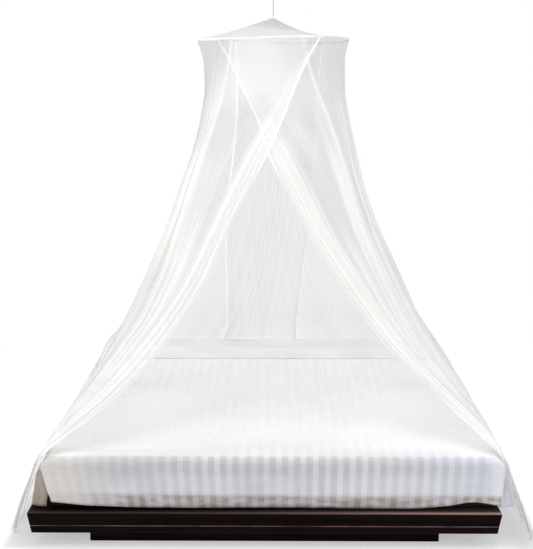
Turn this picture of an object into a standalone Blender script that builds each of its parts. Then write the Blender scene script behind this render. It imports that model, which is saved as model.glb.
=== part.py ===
"""Mosquito net canopy: a round-hoop bed net hung on a cord, its two curtains drawn aside over a low platform bed.

Metres, +Z up. The origin is on the floor, under the middle of the hoop. -Y is the foot of the bed, where the net
opens, and +X is to the right of someone who stands there. Angles round the net are in degrees from the foot.
"""

import math
from collections import namedtuple

import bmesh
import bpy
from mathutils import Vector

# ---------------------------------------------------------------- driving dimensions

GAP = 0.0003                 # between pieces that touch

HOOP_HEIGHT = 2.177          # middle of the rod
HOOP_RADIUS = 0.371
HOOP_ROD_RADIUS = 0.0025
HOOP_WARP = 0.006            # the light rod is bent a little like a saddle
HOOP_STEPS = 48
CASING_INNER = 0.0031
CASING_WALL = 0.0015
CASING_SLIT = 80.0           # degrees left open on the inner side of the casing
CASING_STEPS = 6

ROOF_RISE = 0.100
ROOF_HOLLOW = 1.38           # 1 would be a straight cone
ROOF_EYE_RADIUS = 0.0047     # where the cone is gathered into the loop
ROOF_FLUTE = 0.0022
ROOF_FLUTES = 8
ROOF_RINGS = 6

NET_THICKNESS = 0.002
TOP_CLEARANCE = 0.0005       # from the casing down to the first row of the curtains
TOP_LEVEL = HOOP_HEIGHT - CASING_INNER - CASING_WALL - TOP_CLEARANCE
BINDING_WIDTH = 0.008
BINDING_THICKNESS = 0.003
FRONT_BINDING_GAP = 0.0012   # along the cut; less square to the tape, whose edge slants
REAR_BINDING_GAP = 0.0009

LOOP_RISE = 0.0085           # of the tape loop above the peak
LOOP_ROOT = 0.004            # of its two ends below the peak
LOOP_LEG = 0.0021            # from the middle to each of its ends
LOOP_BOW_RADIUS = 0.0032
TAPE_THICKNESS = 0.0012
TAPE_DEPTH = 0.0055
RING_RADIUS = 0.0075
RING_WIRE = 0.0012
RING_STEPS = 20
CORD_RADIUS = 0.0016
CORD_STEPS = 14
CEILING_HEIGHT = 2.440
PLATE_RADIUS = 0.020
PLATE_THICKNESS = 0.004
HOOK_WIRE = 0.0018
HOOK_SHANK = 0.013
HOOK_RADIUS = 0.008
HOOK_END = -205.0            # degrees, where the open hook ends

BED_SIDE = 2.000             # the made bed, over the bedspread
BASE_SHIFT = -0.036          # the base stands a little to the left of the mattress
BASE_WIDTH = 2.049
BASE_LENGTH = 2.060
BASE_TAPER = 0.14            # inward lean of the base's faces, per metre of height
BASE_TOP_HEIGHT = 0.159
BASE_SPLIT_HEIGHT = 0.0965
BASE_BOTTOM_HEIGHT = 0.062
PLINTH_WIDTH = 1.533
PLINTH_LENGTH = 1.930
BOARD_ROUNDING = 0.002

MATTRESS_SIDE = 1.964
MATTRESS_TOP = 0.3975
MATTRESS_ROUNDING = 0.034
SPREAD_THICKNESS = 0.003
SPREAD_CLEARANCE = 0.0022    # from the mattress to the middle of the bedspread
SPREAD_REAR = 0.505          # where the bedspread ends and the sheet is turned back
SPREAD_BEND = 0.045          # radius of its rounded edges
SIDE_DROP = 0.225            # from the top down to the hem of its sides
SIDE_DROP_LENGTH = SIDE_DROP - SPREAD_BEND
SIDE_FLARE = 0.046
SIDE_WAVE = 0.010
FLAP_WAVE = 0.006
FLAP_TAPER = 0.038           # the front flap is narrower at its hem than at the top
TURNED_DEPTH = 0.270
TURNED_WIDTH = 1.880
TURNED_LAYER = 0.002
TURNED_OPENING = 0.002

# ---------------------------------------------------------------- the net's form, cut by level planes

# Half sizes of each level cut through the hung net, how square it is (2 is a circle), how deep its main folds are,
# and how far the left curtain hangs outside the right one where they overlap.
Section = namedtuple("Section", "height left right front rear squareness fold_depth lap")
SECTIONS = (
    Section(2.1720, 0.3710, 0.3710, 0.3710, 0.3710, 2.0, 0.0000, 0.0050),
    Section(2.0700, 0.3430, 0.3520, 0.3650, 0.3660, 2.0, 0.0030, 0.0100),
    Section(1.9500, 0.3380, 0.3520, 0.3700, 0.3740, 2.1, 0.0070, 0.0140),
    Section(1.8000, 0.3600, 0.3740, 0.3880, 0.4000, 2.2, 0.0100, 0.0170),
    Section(1.6600, 0.3950, 0.4060, 0.4200, 0.4300, 2.3, 0.0130, 0.0190),
    Section(1.5000, 0.4520, 0.4430, 0.4650, 0.4650, 2.5, 0.0150, 0.0210),
    Section(1.3000, 0.5230, 0.5120, 0.5300, 0.5200, 2.9, 0.0180, 0.0240),
    Section(1.1000, 0.6050, 0.6040, 0.6000, 0.5900, 3.5, 0.0210, 0.0270),
    Section(0.9300, 0.6770, 0.6820, 0.6650, 0.6600, 4.3, 0.0230, 0.0290),
    Section(0.8000, 0.7340, 0.7380, 0.7250, 0.7250, 5.6, 0.0240, 0.0300),
    Section(0.6200, 0.8300, 0.8480, 0.8250, 0.8350, 8.0, 0.0230, 0.0300),
    Section(0.4800, 0.9180, 0.9420, 0.9270, 0.9400, 15.0, 0.0160, 0.0260),
    Section(0.4180, 0.9800, 0.9890, 0.9950, 1.0080, 28.0, 0.0080, 0.0200),
    Section(0.3800, 1.0050, 1.0090, 1.0150, 1.0320, 32.0, 0.0080, 0.0200),
    Section(0.2500, 1.0560, 1.0580, 1.0340, 1.0560, 32.0, 0.0120, 0.0240),
    Section(0.1300, 1.1030, 1.1030, 1.0500, 1.0760, 30.0, 0.0180, 0.0280),
    Section(0.0010, 1.1420, 1.1450, 1.0600, 1.0880, 30.0, 0.0260, 0.0320),
)

# Where five lines of thread of one curtain cross each level: its front edge, the outer side of the dense band next
# to it, the inner side of the next folds, and its rear edge. The middle line keeps to the side of the net.
Lines = namedtuple("Lines", "height edge band gap rear")
LINE_PLACES = (0.0, 0.15, 0.25, 0.5, 1.0)
SIDE_ANGLE = 90.0
LEFT_LINES = (
    Lines(2.1720, -34.5, 4.2, 30.0, 223.5),
    Lines(2.0700, -24.2, -17.0, 33.5, 220.8),
    Lines(1.9500, -14.5, -8.5, 37.2, 217.4),
    Lines(1.8000, -5.0, 3.5, 41.8, 214.2),
    Lines(1.6600, 4.0, 14.7, 46.0, 210.6),
    Lines(1.5000, 13.2, 23.4, 47.4, 206.2),
    Lines(1.3000, 22.3, 30.2, 45.6, 201.8),
    Lines(1.1000, 27.2, 34.6, 43.6, 197.6),
    Lines(0.9300, 32.3, 38.6, 44.0, 194.2),
    Lines(0.8000, 35.6, 41.4, 45.6, 192.2),
    Lines(0.6200, 40.4, 44.8, 48.2, 189.8),
    Lines(0.4800, 44.2, 47.0, 50.4, 188.2),
    Lines(0.4050, 45.3, 48.2, 52.0, 187.6),
    Lines(0.2500, 48.8, 52.0, 57.0, 187.2),
    Lines(0.0010, 52.4, 57.0, 63.0, 187.0),
)
RIGHT_LINES = (
    Lines(2.1720, -42.6, -4.6, 20.8, 211.0),
    Lines(2.0700, -32.7, -26.0, 25.5, 210.8),
    Lines(1.9500, -22.0, -17.0, 32.0, 210.4),
    Lines(1.8000, -9.5, -4.0, 41.5, 208.9),
    Lines(1.6600, -2.8, 9.0, 46.5, 208.1),
    Lines(1.5000, 7.4, 18.8, 48.6, 207.8),
    Lines(1.3000, 17.6, 27.0, 48.0, 206.4),
    Lines(1.1000, 26.6, 34.6, 47.6, 204.2),
    Lines(0.9300, 33.2, 39.2, 47.6, 202.0),
    Lines(0.8000, 37.0, 42.0, 48.2, 200.2),
    Lines(0.6200, 43.2, 46.2, 50.0, 198.0),
    Lines(0.4800, 45.0, 48.3, 51.8, 196.8),
    Lines(0.4050, 45.5, 49.0, 53.0, 196.3),
    Lines(0.2500, 48.5, 53.0, 58.0, 195.8),
    Lines(0.0010, 50.6, 57.0, 64.0, 195.5),
)

# The main folds of one curtain from its front edge to its rear edge: the share of the width that each takes, and how
# deep it is beside the section's own fold depth.
Pleat = namedtuple("Pleat", "share depth")
LEFT_PLEATS = (
    Pleat(0.045, 0.45), Pleat(0.055, 0.60), Pleat(0.050, 0.50), Pleat(0.075, 0.35), Pleat(0.060, 1.00),
    Pleat(0.070, 0.70), Pleat(0.085, 1.20), Pleat(0.075, 0.80), Pleat(0.090, 1.10), Pleat(0.070, 0.65),
    Pleat(0.095, 1.25), Pleat(0.080, 0.75), Pleat(0.085, 1.00), Pleat(0.065, 0.50),
)
RIGHT_PLEATS = (
    Pleat(0.055, 0.55), Pleat(0.045, 0.45), Pleat(0.060, 0.50), Pleat(0.070, 0.40), Pleat(0.065, 0.90),
    Pleat(0.075, 1.15), Pleat(0.065, 0.70), Pleat(0.090, 1.20), Pleat(0.070, 0.80), Pleat(0.085, 1.10),
    Pleat(0.080, 0.65), Pleat(0.090, 0.90), Pleat(0.070, 0.55), Pleat(0.080, 0.35),
)
STEPS_PER_PLEAT = 4

# Levels between the section rows at which the sheet gets a further row of points.
EXTRA_LEVELS = (2.125, 2.010, 0.71, 0.55, 0.440)

# The hem of the bedspread's front flap, from the left corner to the right one: uneven, lifted near the right end.
HemPoint = namedtuple("HemPoint", "place height")
FRONT_HEM = (
    HemPoint(0.00, 0.196), HemPoint(0.10, 0.178), HemPoint(0.28, 0.168), HemPoint(0.55, 0.166),
    HemPoint(0.78, 0.171), HemPoint(0.90, 0.202), HemPoint(0.96, 0.196), HemPoint(1.00, 0.182),
)

# ---------------------------------------------------------------- helpers


def clear_objects():
    for item in list(bpy.data.objects):
        bpy.data.objects.remove(item, do_unlink=True)


def new_collection(name):
    collection = bpy.data.collections.new(name)
    bpy.context.scene.collection.children.link(collection)
    return collection


def finish_material(name, color, roughness, metallic=0.0, alpha=1.0):
    material = bpy.data.materials.new(name)
    material.use_nodes = True
    shader = material.node_tree.nodes["Principled BSDF"]
    shader.inputs["Base Color"].default_value = (*color, 1.0)
    shader.inputs["Roughness"].default_value = roughness
    shader.inputs["Metallic"].default_value = metallic
    shader.inputs["Alpha"].default_value = alpha
    return material


def add_object(name, data, material, collection):
    item = bpy.data.objects.new(name, data)
    data.materials.append(material)
    collection.objects.link(item)
    return item


def add_grid(name, rows, material, collection, closed=False):
    """A sheet of quads through rows of points; closed joins each row's last point to its first."""
    mesh = bpy.data.meshes.new(name)
    grid = bmesh.new()
    lines = [[grid.verts.new(point) for point in row] for row in rows]
    for upper, lower in zip(lines, lines[1:]):
        width = len(upper)
        for i in range(width if closed else width - 1):
            j = (i + 1) % width
            grid.faces.new((upper[i], lower[i], lower[j], upper[j]))
    grid.to_mesh(mesh)
    grid.free()
    mesh.shade_smooth()
    return add_object(name, mesh, material, collection)


def thicken(item, thickness, offset=0.0):
    solid = item.modifiers.new("Thickness", "SOLIDIFY")
    solid.thickness = thickness
    solid.offset = offset


def add_tube(name, points, radius, material, collection, closed=False, resolution=2):
    """A round wire or cord through a list of points."""
    curve = bpy.data.curves.new(name, "CURVE")
    curve.dimensions = "3D"
    curve.bevel_depth = radius
    curve.bevel_resolution = resolution
    curve.use_fill_caps = not closed
    spline = curve.splines.new("POLY")
    spline.points.add(len(points) - 1)
    for target, point in zip(spline.points, points):
        target.co = (*point, 1.0)
    spline.use_cyclic_u = closed
    return add_object(name, curve, material, collection)


def add_board(name, center, size, material, collection, taper=0.0, rounding=0.0):
    """A board or block; taper moves each side of its underside inward."""
    mesh = bpy.data.meshes.new(name)
    block = bmesh.new()
    bmesh.ops.create_cube(block, size=1.0)
    for vert in block.verts:
        inset = taper if vert.co.z < 0 else 0.0
        vert.co.x *= size[0] - 2.0 * inset
        vert.co.y *= size[1] - 2.0 * inset
        vert.co.z *= size[2]
    block.to_mesh(mesh)
    block.free()
    item = add_object(name, mesh, material, collection)
    item.location = center
    if rounding:
        bevel = item.modifiers.new("Rounding", "BEVEL")
        bevel.width = rounding
        bevel.segments = 4 if rounding > 0.01 else 1
    return item


def monotone(places, values, place):
    """A smooth curve through the values that never overshoots between them."""
    last = len(places) - 1
    if place <= places[0]:
        return values[0]
    if place >= places[last]:
        return values[last]
    spans = [b - a for a, b in zip(places, places[1:])]
    slopes = [(b - a) / span for a, b, span in zip(values, values[1:], spans)]
    k = next(i for i in range(last) if place <= places[i + 1])

    def tangent(i):
        if i == 0:
            return slopes[0]
        if i == last:
            return slopes[-1]
        before, after = slopes[i - 1], slopes[i]
        return 0.0 if before * after <= 0 else 2.0 * before * after / (before + after)

    t = (place - places[k]) / spans[k]
    rise = spans[k]
    return (
        values[k] * (1 + 2 * t) * (1 - t) ** 2
        + rise * tangent(k) * t * (1 - t) ** 2
        + values[k + 1] * t * t * (3 - 2 * t)
        - rise * tangent(k + 1) * t * t * (1 - t)
    )


def read_table(rows, height, column):
    """One column of a table whose rows go down from the hoop, read at any height."""
    return monotone([-row.height for row in rows], [getattr(row, column) for row in rows], -height)


def smooth_step(low, high, value):
    t = min(max((value - low) / (high - low), 0.0), 1.0)
    return t * t * (3 - 2 * t)


# ---------------------------------------------------------------- the net's surface


def hoop_warp(angle):
    """How far the bent hoop lies above its middle height; the angle is in radians, to the right of the foot."""
    return HOOP_WARP * math.sin(2.0 * angle)


def section_at(height):
    return Section(height, *(read_table(SECTIONS, height, column) for column in Section._fields[1:]))


def net_place(section, angle):
    """The point of a level cut at an angle (radians, to the right of the foot), and the outward direction there."""
    side, front = math.sin(angle), -math.cos(angle)
    width = section.left + (section.right - section.left) * (0.5 + 0.5 * side)
    length = section.rear + (section.front - section.rear) * (0.5 - 0.5 * front)
    power = section.squareness
    across, along = abs(side) / width, abs(front) / length
    radius = (across**power + along**power) ** (-1.0 / power)
    outward = Vector((
        math.copysign((across * radius) ** (power - 1.0) / width, side),
        math.copysign((along * radius) ** (power - 1.0) / length, front),
        0.0,
    )).normalized()
    return Vector((side * radius, front * radius, section.height)), outward


def line_angle(lines, height, share):
    """The angle at which the thread that is a share of the curtain's width from its front edge crosses a level."""
    values = [
        read_table(lines, height, "edge"),
        read_table(lines, height, "band"),
        read_table(lines, height, "gap"),
        SIDE_ANGLE,
        read_table(lines, height, "rear"),
    ]
    return math.radians(monotone(LINE_PLACES, values, share))


def pleat_wave(pleats, share):
    """The main folds across a curtain: 0 in each furrow, up to the pleat's depth on its crest."""
    start = 0.0
    for pleat in pleats:
        if share <= start + pleat.share:
            return pleat.depth * 0.5 * (1.0 - math.cos(math.tau * (share - start) / pleat.share))
        start += pleat.share
    return 0.0


def lap_weight(angle):
    """1 across the foot and the head, where one curtain hangs over the other, and 0 at the sides."""
    return 1.0 - smooth_step(0.62, 0.96, abs(math.sin(angle)))


class Curtain:
    """One net panel: hand is -1 for the left one and +1 for the right one; the left one hangs outside."""

    def __init__(self, side, hand, lines, pleats):
        self.side, self.hand, self.lines, self.pleats = side, hand, lines, pleats
        self.outside = hand < 0

    def point(self, share, section, beyond=0.0):
        """A point of the panel's middle surface; beyond goes past its edge, along the cut, by a length."""
        angle = self.hand * line_angle(self.lines, section.height, share)
        place, outward = net_place(section, angle)
        swell = section.fold_depth * pleat_wave(self.pleats, share)
        if self.outside:
            swell += section.lap * lap_weight(angle)
        along = Vector((-outward.y, outward.x, 0.0))
        warp = hoop_warp(angle) * smooth_step(1.6, HOOP_HEIGHT, section.height)
        return place + outward * swell + along * beyond + Vector((0.0, 0.0, warp))

    def shares(self):
        places, start = [0.0], 0.0
        for pleat in self.pleats:
            places += [start + pleat.share * (k + 1) / STEPS_PER_PLEAT for k in range(STEPS_PER_PLEAT)]
            start += pleat.share
        return places

    def build_panel(self, material, collection):
        rows = [[self.point(share, section) for share in self.shares()] for section in level_sections()]
        if self.hand > 0:
            rows = [row[::-1] for row in rows]
        panel = add_grid(f"curtain_{self.side}", rows, material, collection)
        thicken(panel, NET_THICKNESS)

    def build_binding(self, name, share, direction, gap, material, collection):
        """The tape along one edge; direction is the way past that edge along the cut."""
        rows = [
            [self.point(share, section, direction * past) for past in (gap, gap + BINDING_WIDTH)]
            for section in level_sections()
        ]
        if direction > 0:
            rows = [row[::-1] for row in rows]
        tape = add_grid(name, rows, material, collection)
        thicken(tape, BINDING_THICKNESS)


def level_sections():
    """The rows of the net, from just under the casing down to the floor."""
    lower = {row.height for row in SECTIONS[1:]} | set(EXTRA_LEVELS)
    return [section_at(height) for height in [TOP_LEVEL, *sorted(lower, reverse=True)]]


def build_curtains(net, tape, collection):
    left = Curtain("left", -1, LEFT_LINES, LEFT_PLEATS)
    right = Curtain("right", 1, RIGHT_LINES, RIGHT_PLEATS)
    for curtain in (left, right):
        curtain.build_panel(net, collection)
        # going round counter-clockwise from above is +1 along the cut
        front, rear = f"front_binding_{curtain.side}", f"rear_binding_{curtain.side}"
        curtain.build_binding(front, 0.0, -curtain.hand, FRONT_BINDING_GAP, tape, collection)
        curtain.build_binding(rear, 1.0, curtain.hand, REAR_BINDING_GAP, tape, collection)


# ---------------------------------------------------------------- roof, hoop and what hangs them


def hoop_point(radius, height, angle):
    """A point on or beside the warped hoop; the angle is in radians, to the right of the foot."""
    side, front = math.sin(angle), -math.cos(angle)
    return Vector((radius * side, radius * front, height + hoop_warp(angle)))


def build_hoop(rod, tape, collection):
    angles = [math.tau * k / HOOP_STEPS for k in range(HOOP_STEPS)]
    add_tube(
        "hoop", [hoop_point(HOOP_RADIUS, HOOP_HEIGHT, angle) for angle in angles],
        HOOP_ROD_RADIUS, rod, collection, closed=True,
    )
    # the casing is a channel round the rod, open towards the middle of the hoop
    turn = 360.0 - CASING_SLIT
    section = [math.radians(-turn / 2 + turn * k / CASING_STEPS) for k in range(CASING_STEPS + 1)]
    rows = [
        [
            hoop_point(HOOP_RADIUS + CASING_INNER * math.cos(lean), HOOP_HEIGHT + CASING_INNER * math.sin(lean), angle)
            for angle in angles
        ]
        for lean in section
    ]
    casing = add_grid("hoop_casing", rows, tape, collection, closed=True)
    thicken(casing, CASING_WALL, offset=-1.0)


def roof_height(radius):
    """The hollow curve from the rim of the roof up to its peak."""
    return ROOF_RISE * (1.0 - radius / HOOP_RADIUS) ** ROOF_HOLLOW


def build_roof(net, collection):
    rim = CASING_INNER + CASING_WALL + NET_THICKNESS / 2 + GAP
    segments = ROOF_FLUTES * 6
    rows = []
    for ring in range(ROOF_RINGS + 1):
        share = (ring / ROOF_RINGS) ** 0.85
        radius = HOOP_RADIUS + (ROOF_EYE_RADIUS - HOOP_RADIUS) * share
        flute = ROOF_FLUTE * math.sin(math.pi * share)
        rows.append([])
        for k in range(segments):
            angle = math.tau * k / segments
            point = hoop_point(radius, HOOP_HEIGHT, angle)
            point.z = HOOP_HEIGHT + rim + roof_height(radius) + hoop_warp(angle) * (1.0 - share)
            point.z += flute * math.cos(ROOF_FLUTES * angle)
            rows[-1].append(point)
    roof = add_grid("roof", rows[::-1], net, collection, closed=True)
    thicken(roof, NET_THICKNESS)
    return HOOP_HEIGHT + rim + roof_height(ROOF_EYE_RADIUS)


def arc_points(center, radius, start, end, steps):
    """Points of an arc in the XZ plane; the angles are in degrees from +X towards +Z."""
    turns = [math.radians(start + (end - start) * k / steps) for k in range(steps + 1)]
    return [Vector((center.x + radius * math.cos(t), center.y, center.z + radius * math.sin(t))) for t in turns]


def build_hanging(tape, steel, cord, collection, peak):
    """The tape loop gathered into the peak, the ring through it, the cord, and the ceiling hook that holds it."""
    loop_top = peak + LOOP_RISE
    bow = Vector((0.0, 0.0, loop_top - LOOP_BOW_RADIUS - TAPE_THICKNESS / 2))
    right_leg = Vector((LOOP_LEG, 0.0, peak - LOOP_ROOT))
    left_leg = Vector((-LOOP_LEG, 0.0, peak - LOOP_ROOT))
    path = [right_leg, *arc_points(bow, LOOP_BOW_RADIUS, -40.0, 220.0, 10), left_leg]
    rows = [[point + Vector((0.0, side * TAPE_DEPTH / 2, 0.0)) for side in (-1, 1)] for point in path]
    thicken(add_grid("top_loop", rows, tape, collection), TAPE_THICKNESS)

    # the ring curves up through the depth of the tape, which it must clear
    rise = RING_RADIUS - math.sqrt(RING_RADIUS**2 - (TAPE_DEPTH / 2) ** 2)
    ring_low = loop_top - TAPE_THICKNESS - rise - 2.0 * GAP - RING_WIRE
    ring_turns = [math.tau * k / RING_STEPS for k in range(RING_STEPS)]
    ring = [
        Vector((0.0, RING_RADIUS * math.sin(t), ring_low + RING_RADIUS * (1.0 - math.cos(t)))) for t in ring_turns
    ]
    add_tube("top_ring", ring, RING_WIRE, steel, collection, closed=True, resolution=1)

    eye = Vector((0.0, 0.0, CEILING_HEIGHT - PLATE_THICKNESS - HOOK_SHANK - HOOK_RADIUS))
    shank = [Vector((0.0, 0.0, CEILING_HEIGHT - PLATE_THICKNESS - GAP))]
    hook = shank + arc_points(eye, HOOK_RADIUS, 90.0, HOOK_END, 12)
    add_tube("ceiling_hook", hook, HOOK_WIRE, steel, collection, resolution=1)

    cord_low = ring_low + 2.0 * RING_RADIUS + RING_WIRE + GAP
    cord_high = eye.z - HOOK_RADIUS - HOOK_WIRE - GAP
    route = [Vector((0.0, 0.0, cord_low + (cord_high - cord_low) * k / CORD_STEPS)) for k in range(CORD_STEPS + 1)]
    add_tube("hanging_cord", route, CORD_RADIUS, cord, collection)

    mesh = bpy.data.meshes.new("ceiling_plate")
    plate = bmesh.new()
    bmesh.ops.create_cone(
        plate, cap_ends=True, segments=32, radius1=PLATE_RADIUS, radius2=PLATE_RADIUS, depth=PLATE_THICKNESS
    )
    plate.to_mesh(mesh)
    plate.free()
    item = add_object("ceiling_plate", mesh, steel, collection)
    item.location.z = CEILING_HEIGHT - PLATE_THICKNESS / 2


# ---------------------------------------------------------------- the bed


def build_base(wood, collection):
    def slab(name, low, high, width, length, lean):
        add_board(
            name, (BASE_SHIFT, 0.0, (low + high) / 2), (width, length, high - low), wood, collection,
            taper=lean * (high - low), rounding=BOARD_ROUNDING,
        )

    drawn_in = 2.0 * BASE_TAPER * (BASE_TOP_HEIGHT - BASE_SPLIT_HEIGHT)
    lower_width, lower_length = BASE_WIDTH - drawn_in, BASE_LENGTH - drawn_in
    slab("base_top", BASE_SPLIT_HEIGHT + GAP, BASE_TOP_HEIGHT, BASE_WIDTH, BASE_LENGTH, BASE_TAPER)
    slab("base_lower", BASE_BOTTOM_HEIGHT + GAP, BASE_SPLIT_HEIGHT, lower_width, lower_length, BASE_TAPER)
    slab("plinth", 0.0, BASE_BOTTOM_HEIGHT, PLINTH_WIDTH, PLINTH_LENGTH, 0.0)


def build_mattress(cloth, collection):
    low = BASE_TOP_HEIGHT + GAP
    add_board(
        "mattress", (0.0, 0.0, (low + MATTRESS_TOP) / 2), (MATTRESS_SIDE, MATTRESS_SIDE, MATTRESS_TOP - low),
        cloth, collection, rounding=MATTRESS_ROUNDING,
    )


def build_turned_sheet(cloth, collection):
    """The sheet folded back at the pillow end: two layers joined by a fold that faces the foot."""
    layer, opening = TURNED_LAYER, TURNED_OPENING
    low = MATTRESS_TOP + GAP + layer / 2
    bend = (layer + opening) / 2
    front, rear = SPREAD_REAR + 0.004 + bend, SPREAD_REAR + TURNED_DEPTH
    path = [(rear, low), ((front + rear) / 2, low), (front, low)]
    path += [
        (front - bend * math.sin(math.radians(turn)), low + bend * (1 - math.cos(math.radians(turn))))
        for turn in (45, 90, 135)
    ]
    path += [(front, low + 2 * bend), ((front + rear) / 2, low + 2 * bend + 0.001), (rear - 0.02, low + 2 * bend)]
    stations = [-TURNED_WIDTH / 2 + TURNED_WIDTH * k / 6 for k in range(7)]
    rows = [[Vector((x, y, z)) for x in stations] for y, z in path]
    thicken(add_grid("turned_sheet", rows, cloth, collection), layer)


def bend_over(distance, reach, radius):
    """Where cloth that runs flat to reach and then bends down lies, a distance along it: outward, and downward."""
    arc = radius * math.pi / 2
    flat = reach - radius
    if distance <= flat:
        return distance, 0.0
    if distance <= flat + arc:
        turn = (distance - flat) / radius
        return flat + radius * math.sin(turn), radius * (1 - math.cos(turn))
    return reach, radius + distance - flat - arc


def hem_height(place):
    return monotone([p.place for p in FRONT_HEM], [p.height for p in FRONT_HEM], place)


def build_bedspread(cloth, collection):
    """A cloth cut like a cross: a top with a flap over the foot and a drop on each side, open at the corners."""
    top = MATTRESS_TOP + SPREAD_CLEARANCE
    reach = BED_SIDE / 2 - SPREAD_THICKNESS / 2
    radius = SPREAD_BEND
    arc = radius * math.pi / 2
    flat = reach - radius
    bends = [flat + arc * k / 3 for k in range(4)]
    drops = [flat + arc + SIDE_DROP_LENGTH * k / 4 for k in range(1, 5)]
    half = [0.0, flat * 0.25, flat * 0.5, flat * 0.75] + bends + drops
    columns = [-p for p in half[:0:-1]] + half
    lengths = [-SPREAD_REAR, -SPREAD_REAR / 2, 0.0, flat * 0.35, flat * 0.7] + bends + drops

    def point(across, along):
        side, down_side = bend_over(abs(across), reach, radius)
        front, down_front = bend_over(along, reach, radius)
        hang_side = max(down_side - radius, 0.0) / SIDE_DROP_LENGTH
        hang_front = max(down_front - radius, 0.0) / SIDE_DROP_LENGTH
        # at the corners the two bends round off into one another
        round_side, round_front = min(down_side, radius), min(down_front, radius)
        down = round_side + round_front - round_side * round_front / radius
        ripple = math.sin(9.0 * along + (2.0 if across > 0 else 0.0))
        side += hang_side * (SIDE_FLARE - SIDE_WAVE * (0.5 + 0.5 * ripple))
        side *= 1.0 - FLAP_TAPER * hang_front
        x = math.copysign(side, across)
        if hang_front > 0:
            place = 0.5 + 0.5 * x / (reach * (1.0 - FLAP_TAPER * hang_front))
            down += hang_front * (top - radius - hem_height(min(max(place, 0.0), 1.0)))
            front += FLAP_WAVE * hang_front * math.sin(7.0 * place + 1.0)
        down += hang_side * SIDE_DROP_LENGTH
        return Vector((x, -front, top - down))

    mesh = bpy.data.meshes.new("bedspread")
    sheet = bmesh.new()
    verts = {}

    def vert(i, j):
        if (i, j) not in verts:
            verts[i, j] = sheet.verts.new(point(columns[i], lengths[j]))
        return verts[i, j]

    corner = flat + arc * 0.99
    for i in range(len(columns) - 1):
        for j in range(len(lengths) - 1):
            outside = max(abs(columns[i]), abs(columns[i + 1])) > corner and lengths[j + 1] > corner
            if not outside:
                sheet.faces.new((vert(i, j), vert(i, j + 1), vert(i + 1, j + 1), vert(i + 1, j)))
    sheet.to_mesh(mesh)
    sheet.free()
    mesh.shade_smooth()
    thicken(add_object("bedspread", mesh, cloth, collection), SPREAD_THICKNESS)


def build():
    clear_objects()
    collection = new_collection("mosquito_net_canopy")
    net = finish_material("net_white", (0.92, 0.92, 0.92), 0.8, alpha=0.5)
    tape = finish_material("tape_white", (0.95, 0.95, 0.95), 0.75)
    rod = finish_material("rod_white", (0.88, 0.88, 0.88), 0.4)
    steel = finish_material("steel_dark", (0.25, 0.25, 0.26), 0.35, metallic=1.0)
    cord = finish_material("cord_white", (0.85, 0.85, 0.85), 0.7)
    wood = finish_material("wood_espresso", (0.012, 0.006, 0.004), 0.35)
    linen = finish_material("linen_white", (0.93, 0.93, 0.94), 0.8)

    build_hoop(rod, tape, collection)
    peak = build_roof(net, collection)
    build_hanging(tape, steel, cord, collection, peak)
    build_curtains(net, tape, collection)
    build_base(wood, collection)
    build_mattress(linen, collection)
    build_turned_sheet(linen, collection)
    build_bedspread(linen, collection)


build()
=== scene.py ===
"""Looks of a round-hoop mosquito net over a low platform bed: netting, white tapes, satin-striped bedspread.

Metres, +Z up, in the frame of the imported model. -Y is the foot of the bed, where the net opens. The angles
in the tables are in degrees from the foot, and go towards a curtain's own side.
"""

import math
from collections import namedtuple

import bmesh
import bpy
import numpy as np
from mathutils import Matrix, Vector


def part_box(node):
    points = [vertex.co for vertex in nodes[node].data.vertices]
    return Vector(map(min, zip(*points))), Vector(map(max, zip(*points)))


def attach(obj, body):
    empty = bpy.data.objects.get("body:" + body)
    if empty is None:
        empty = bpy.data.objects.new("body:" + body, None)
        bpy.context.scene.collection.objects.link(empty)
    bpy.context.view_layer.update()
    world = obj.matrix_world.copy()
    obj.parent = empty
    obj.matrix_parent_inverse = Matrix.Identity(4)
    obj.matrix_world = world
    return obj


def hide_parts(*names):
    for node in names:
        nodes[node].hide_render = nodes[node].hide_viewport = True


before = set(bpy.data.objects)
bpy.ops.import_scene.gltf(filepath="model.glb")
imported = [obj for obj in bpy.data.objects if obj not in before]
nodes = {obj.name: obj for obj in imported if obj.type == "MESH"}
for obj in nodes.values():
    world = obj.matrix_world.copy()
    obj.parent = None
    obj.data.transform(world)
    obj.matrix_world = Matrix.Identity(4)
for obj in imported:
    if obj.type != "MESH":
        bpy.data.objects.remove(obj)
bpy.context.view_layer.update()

# ---------------------------------------------------------------- camera and light

FOCAL_PIXELS = 990.87
VIEW_PIXELS = 549.0          # height of the view that the focal length is given for
SENSOR = 36.0
CAMERA_PLACE = (0.0, -5.0, 2.0232)
CAMERA_PITCH = 11.5607       # degrees below the horizon
CAMERA_YAW = 0.376           # degrees to the left

Softbox = namedtuple("Softbox", "name place aim size power color")
SOFTBOXES = (
    Softbox("top_softbox", (-0.7, 0.8, 12.0), (0.0, 0.0, 0.4), (11.0, 10.0), 1180.0, (1.0, 0.99, 0.975)),
    Softbox("left_softbox", (-4.2, -3.6, 2.4), (0.0, 0.0, 0.9), (2.2, 3.0), 16.0, (1.0, 0.95, 0.88)),
    Softbox("right_softbox", (4.2, -3.6, 2.4), (0.0, 0.0, 0.9), (2.2, 3.0), 14.0, (0.88, 0.94, 1.0)),
)


def link_object(name, data, material=None):
    item = bpy.data.objects.new(name, data)
    bpy.context.scene.collection.objects.link(item)
    if material is not None:
        data.materials.append(material)
    return item


def make_camera():
    data = bpy.data.cameras.new("foot_camera")
    data.sensor_width = SENSOR
    data.lens = FOCAL_PIXELS * SENSOR / VIEW_PIXELS
    camera = link_object("foot_camera", data)
    camera.location = CAMERA_PLACE
    camera.rotation_euler = (math.radians(90.0 - CAMERA_PITCH), 0.0, math.radians(CAMERA_YAW))
    bpy.context.scene.camera = camera


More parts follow.
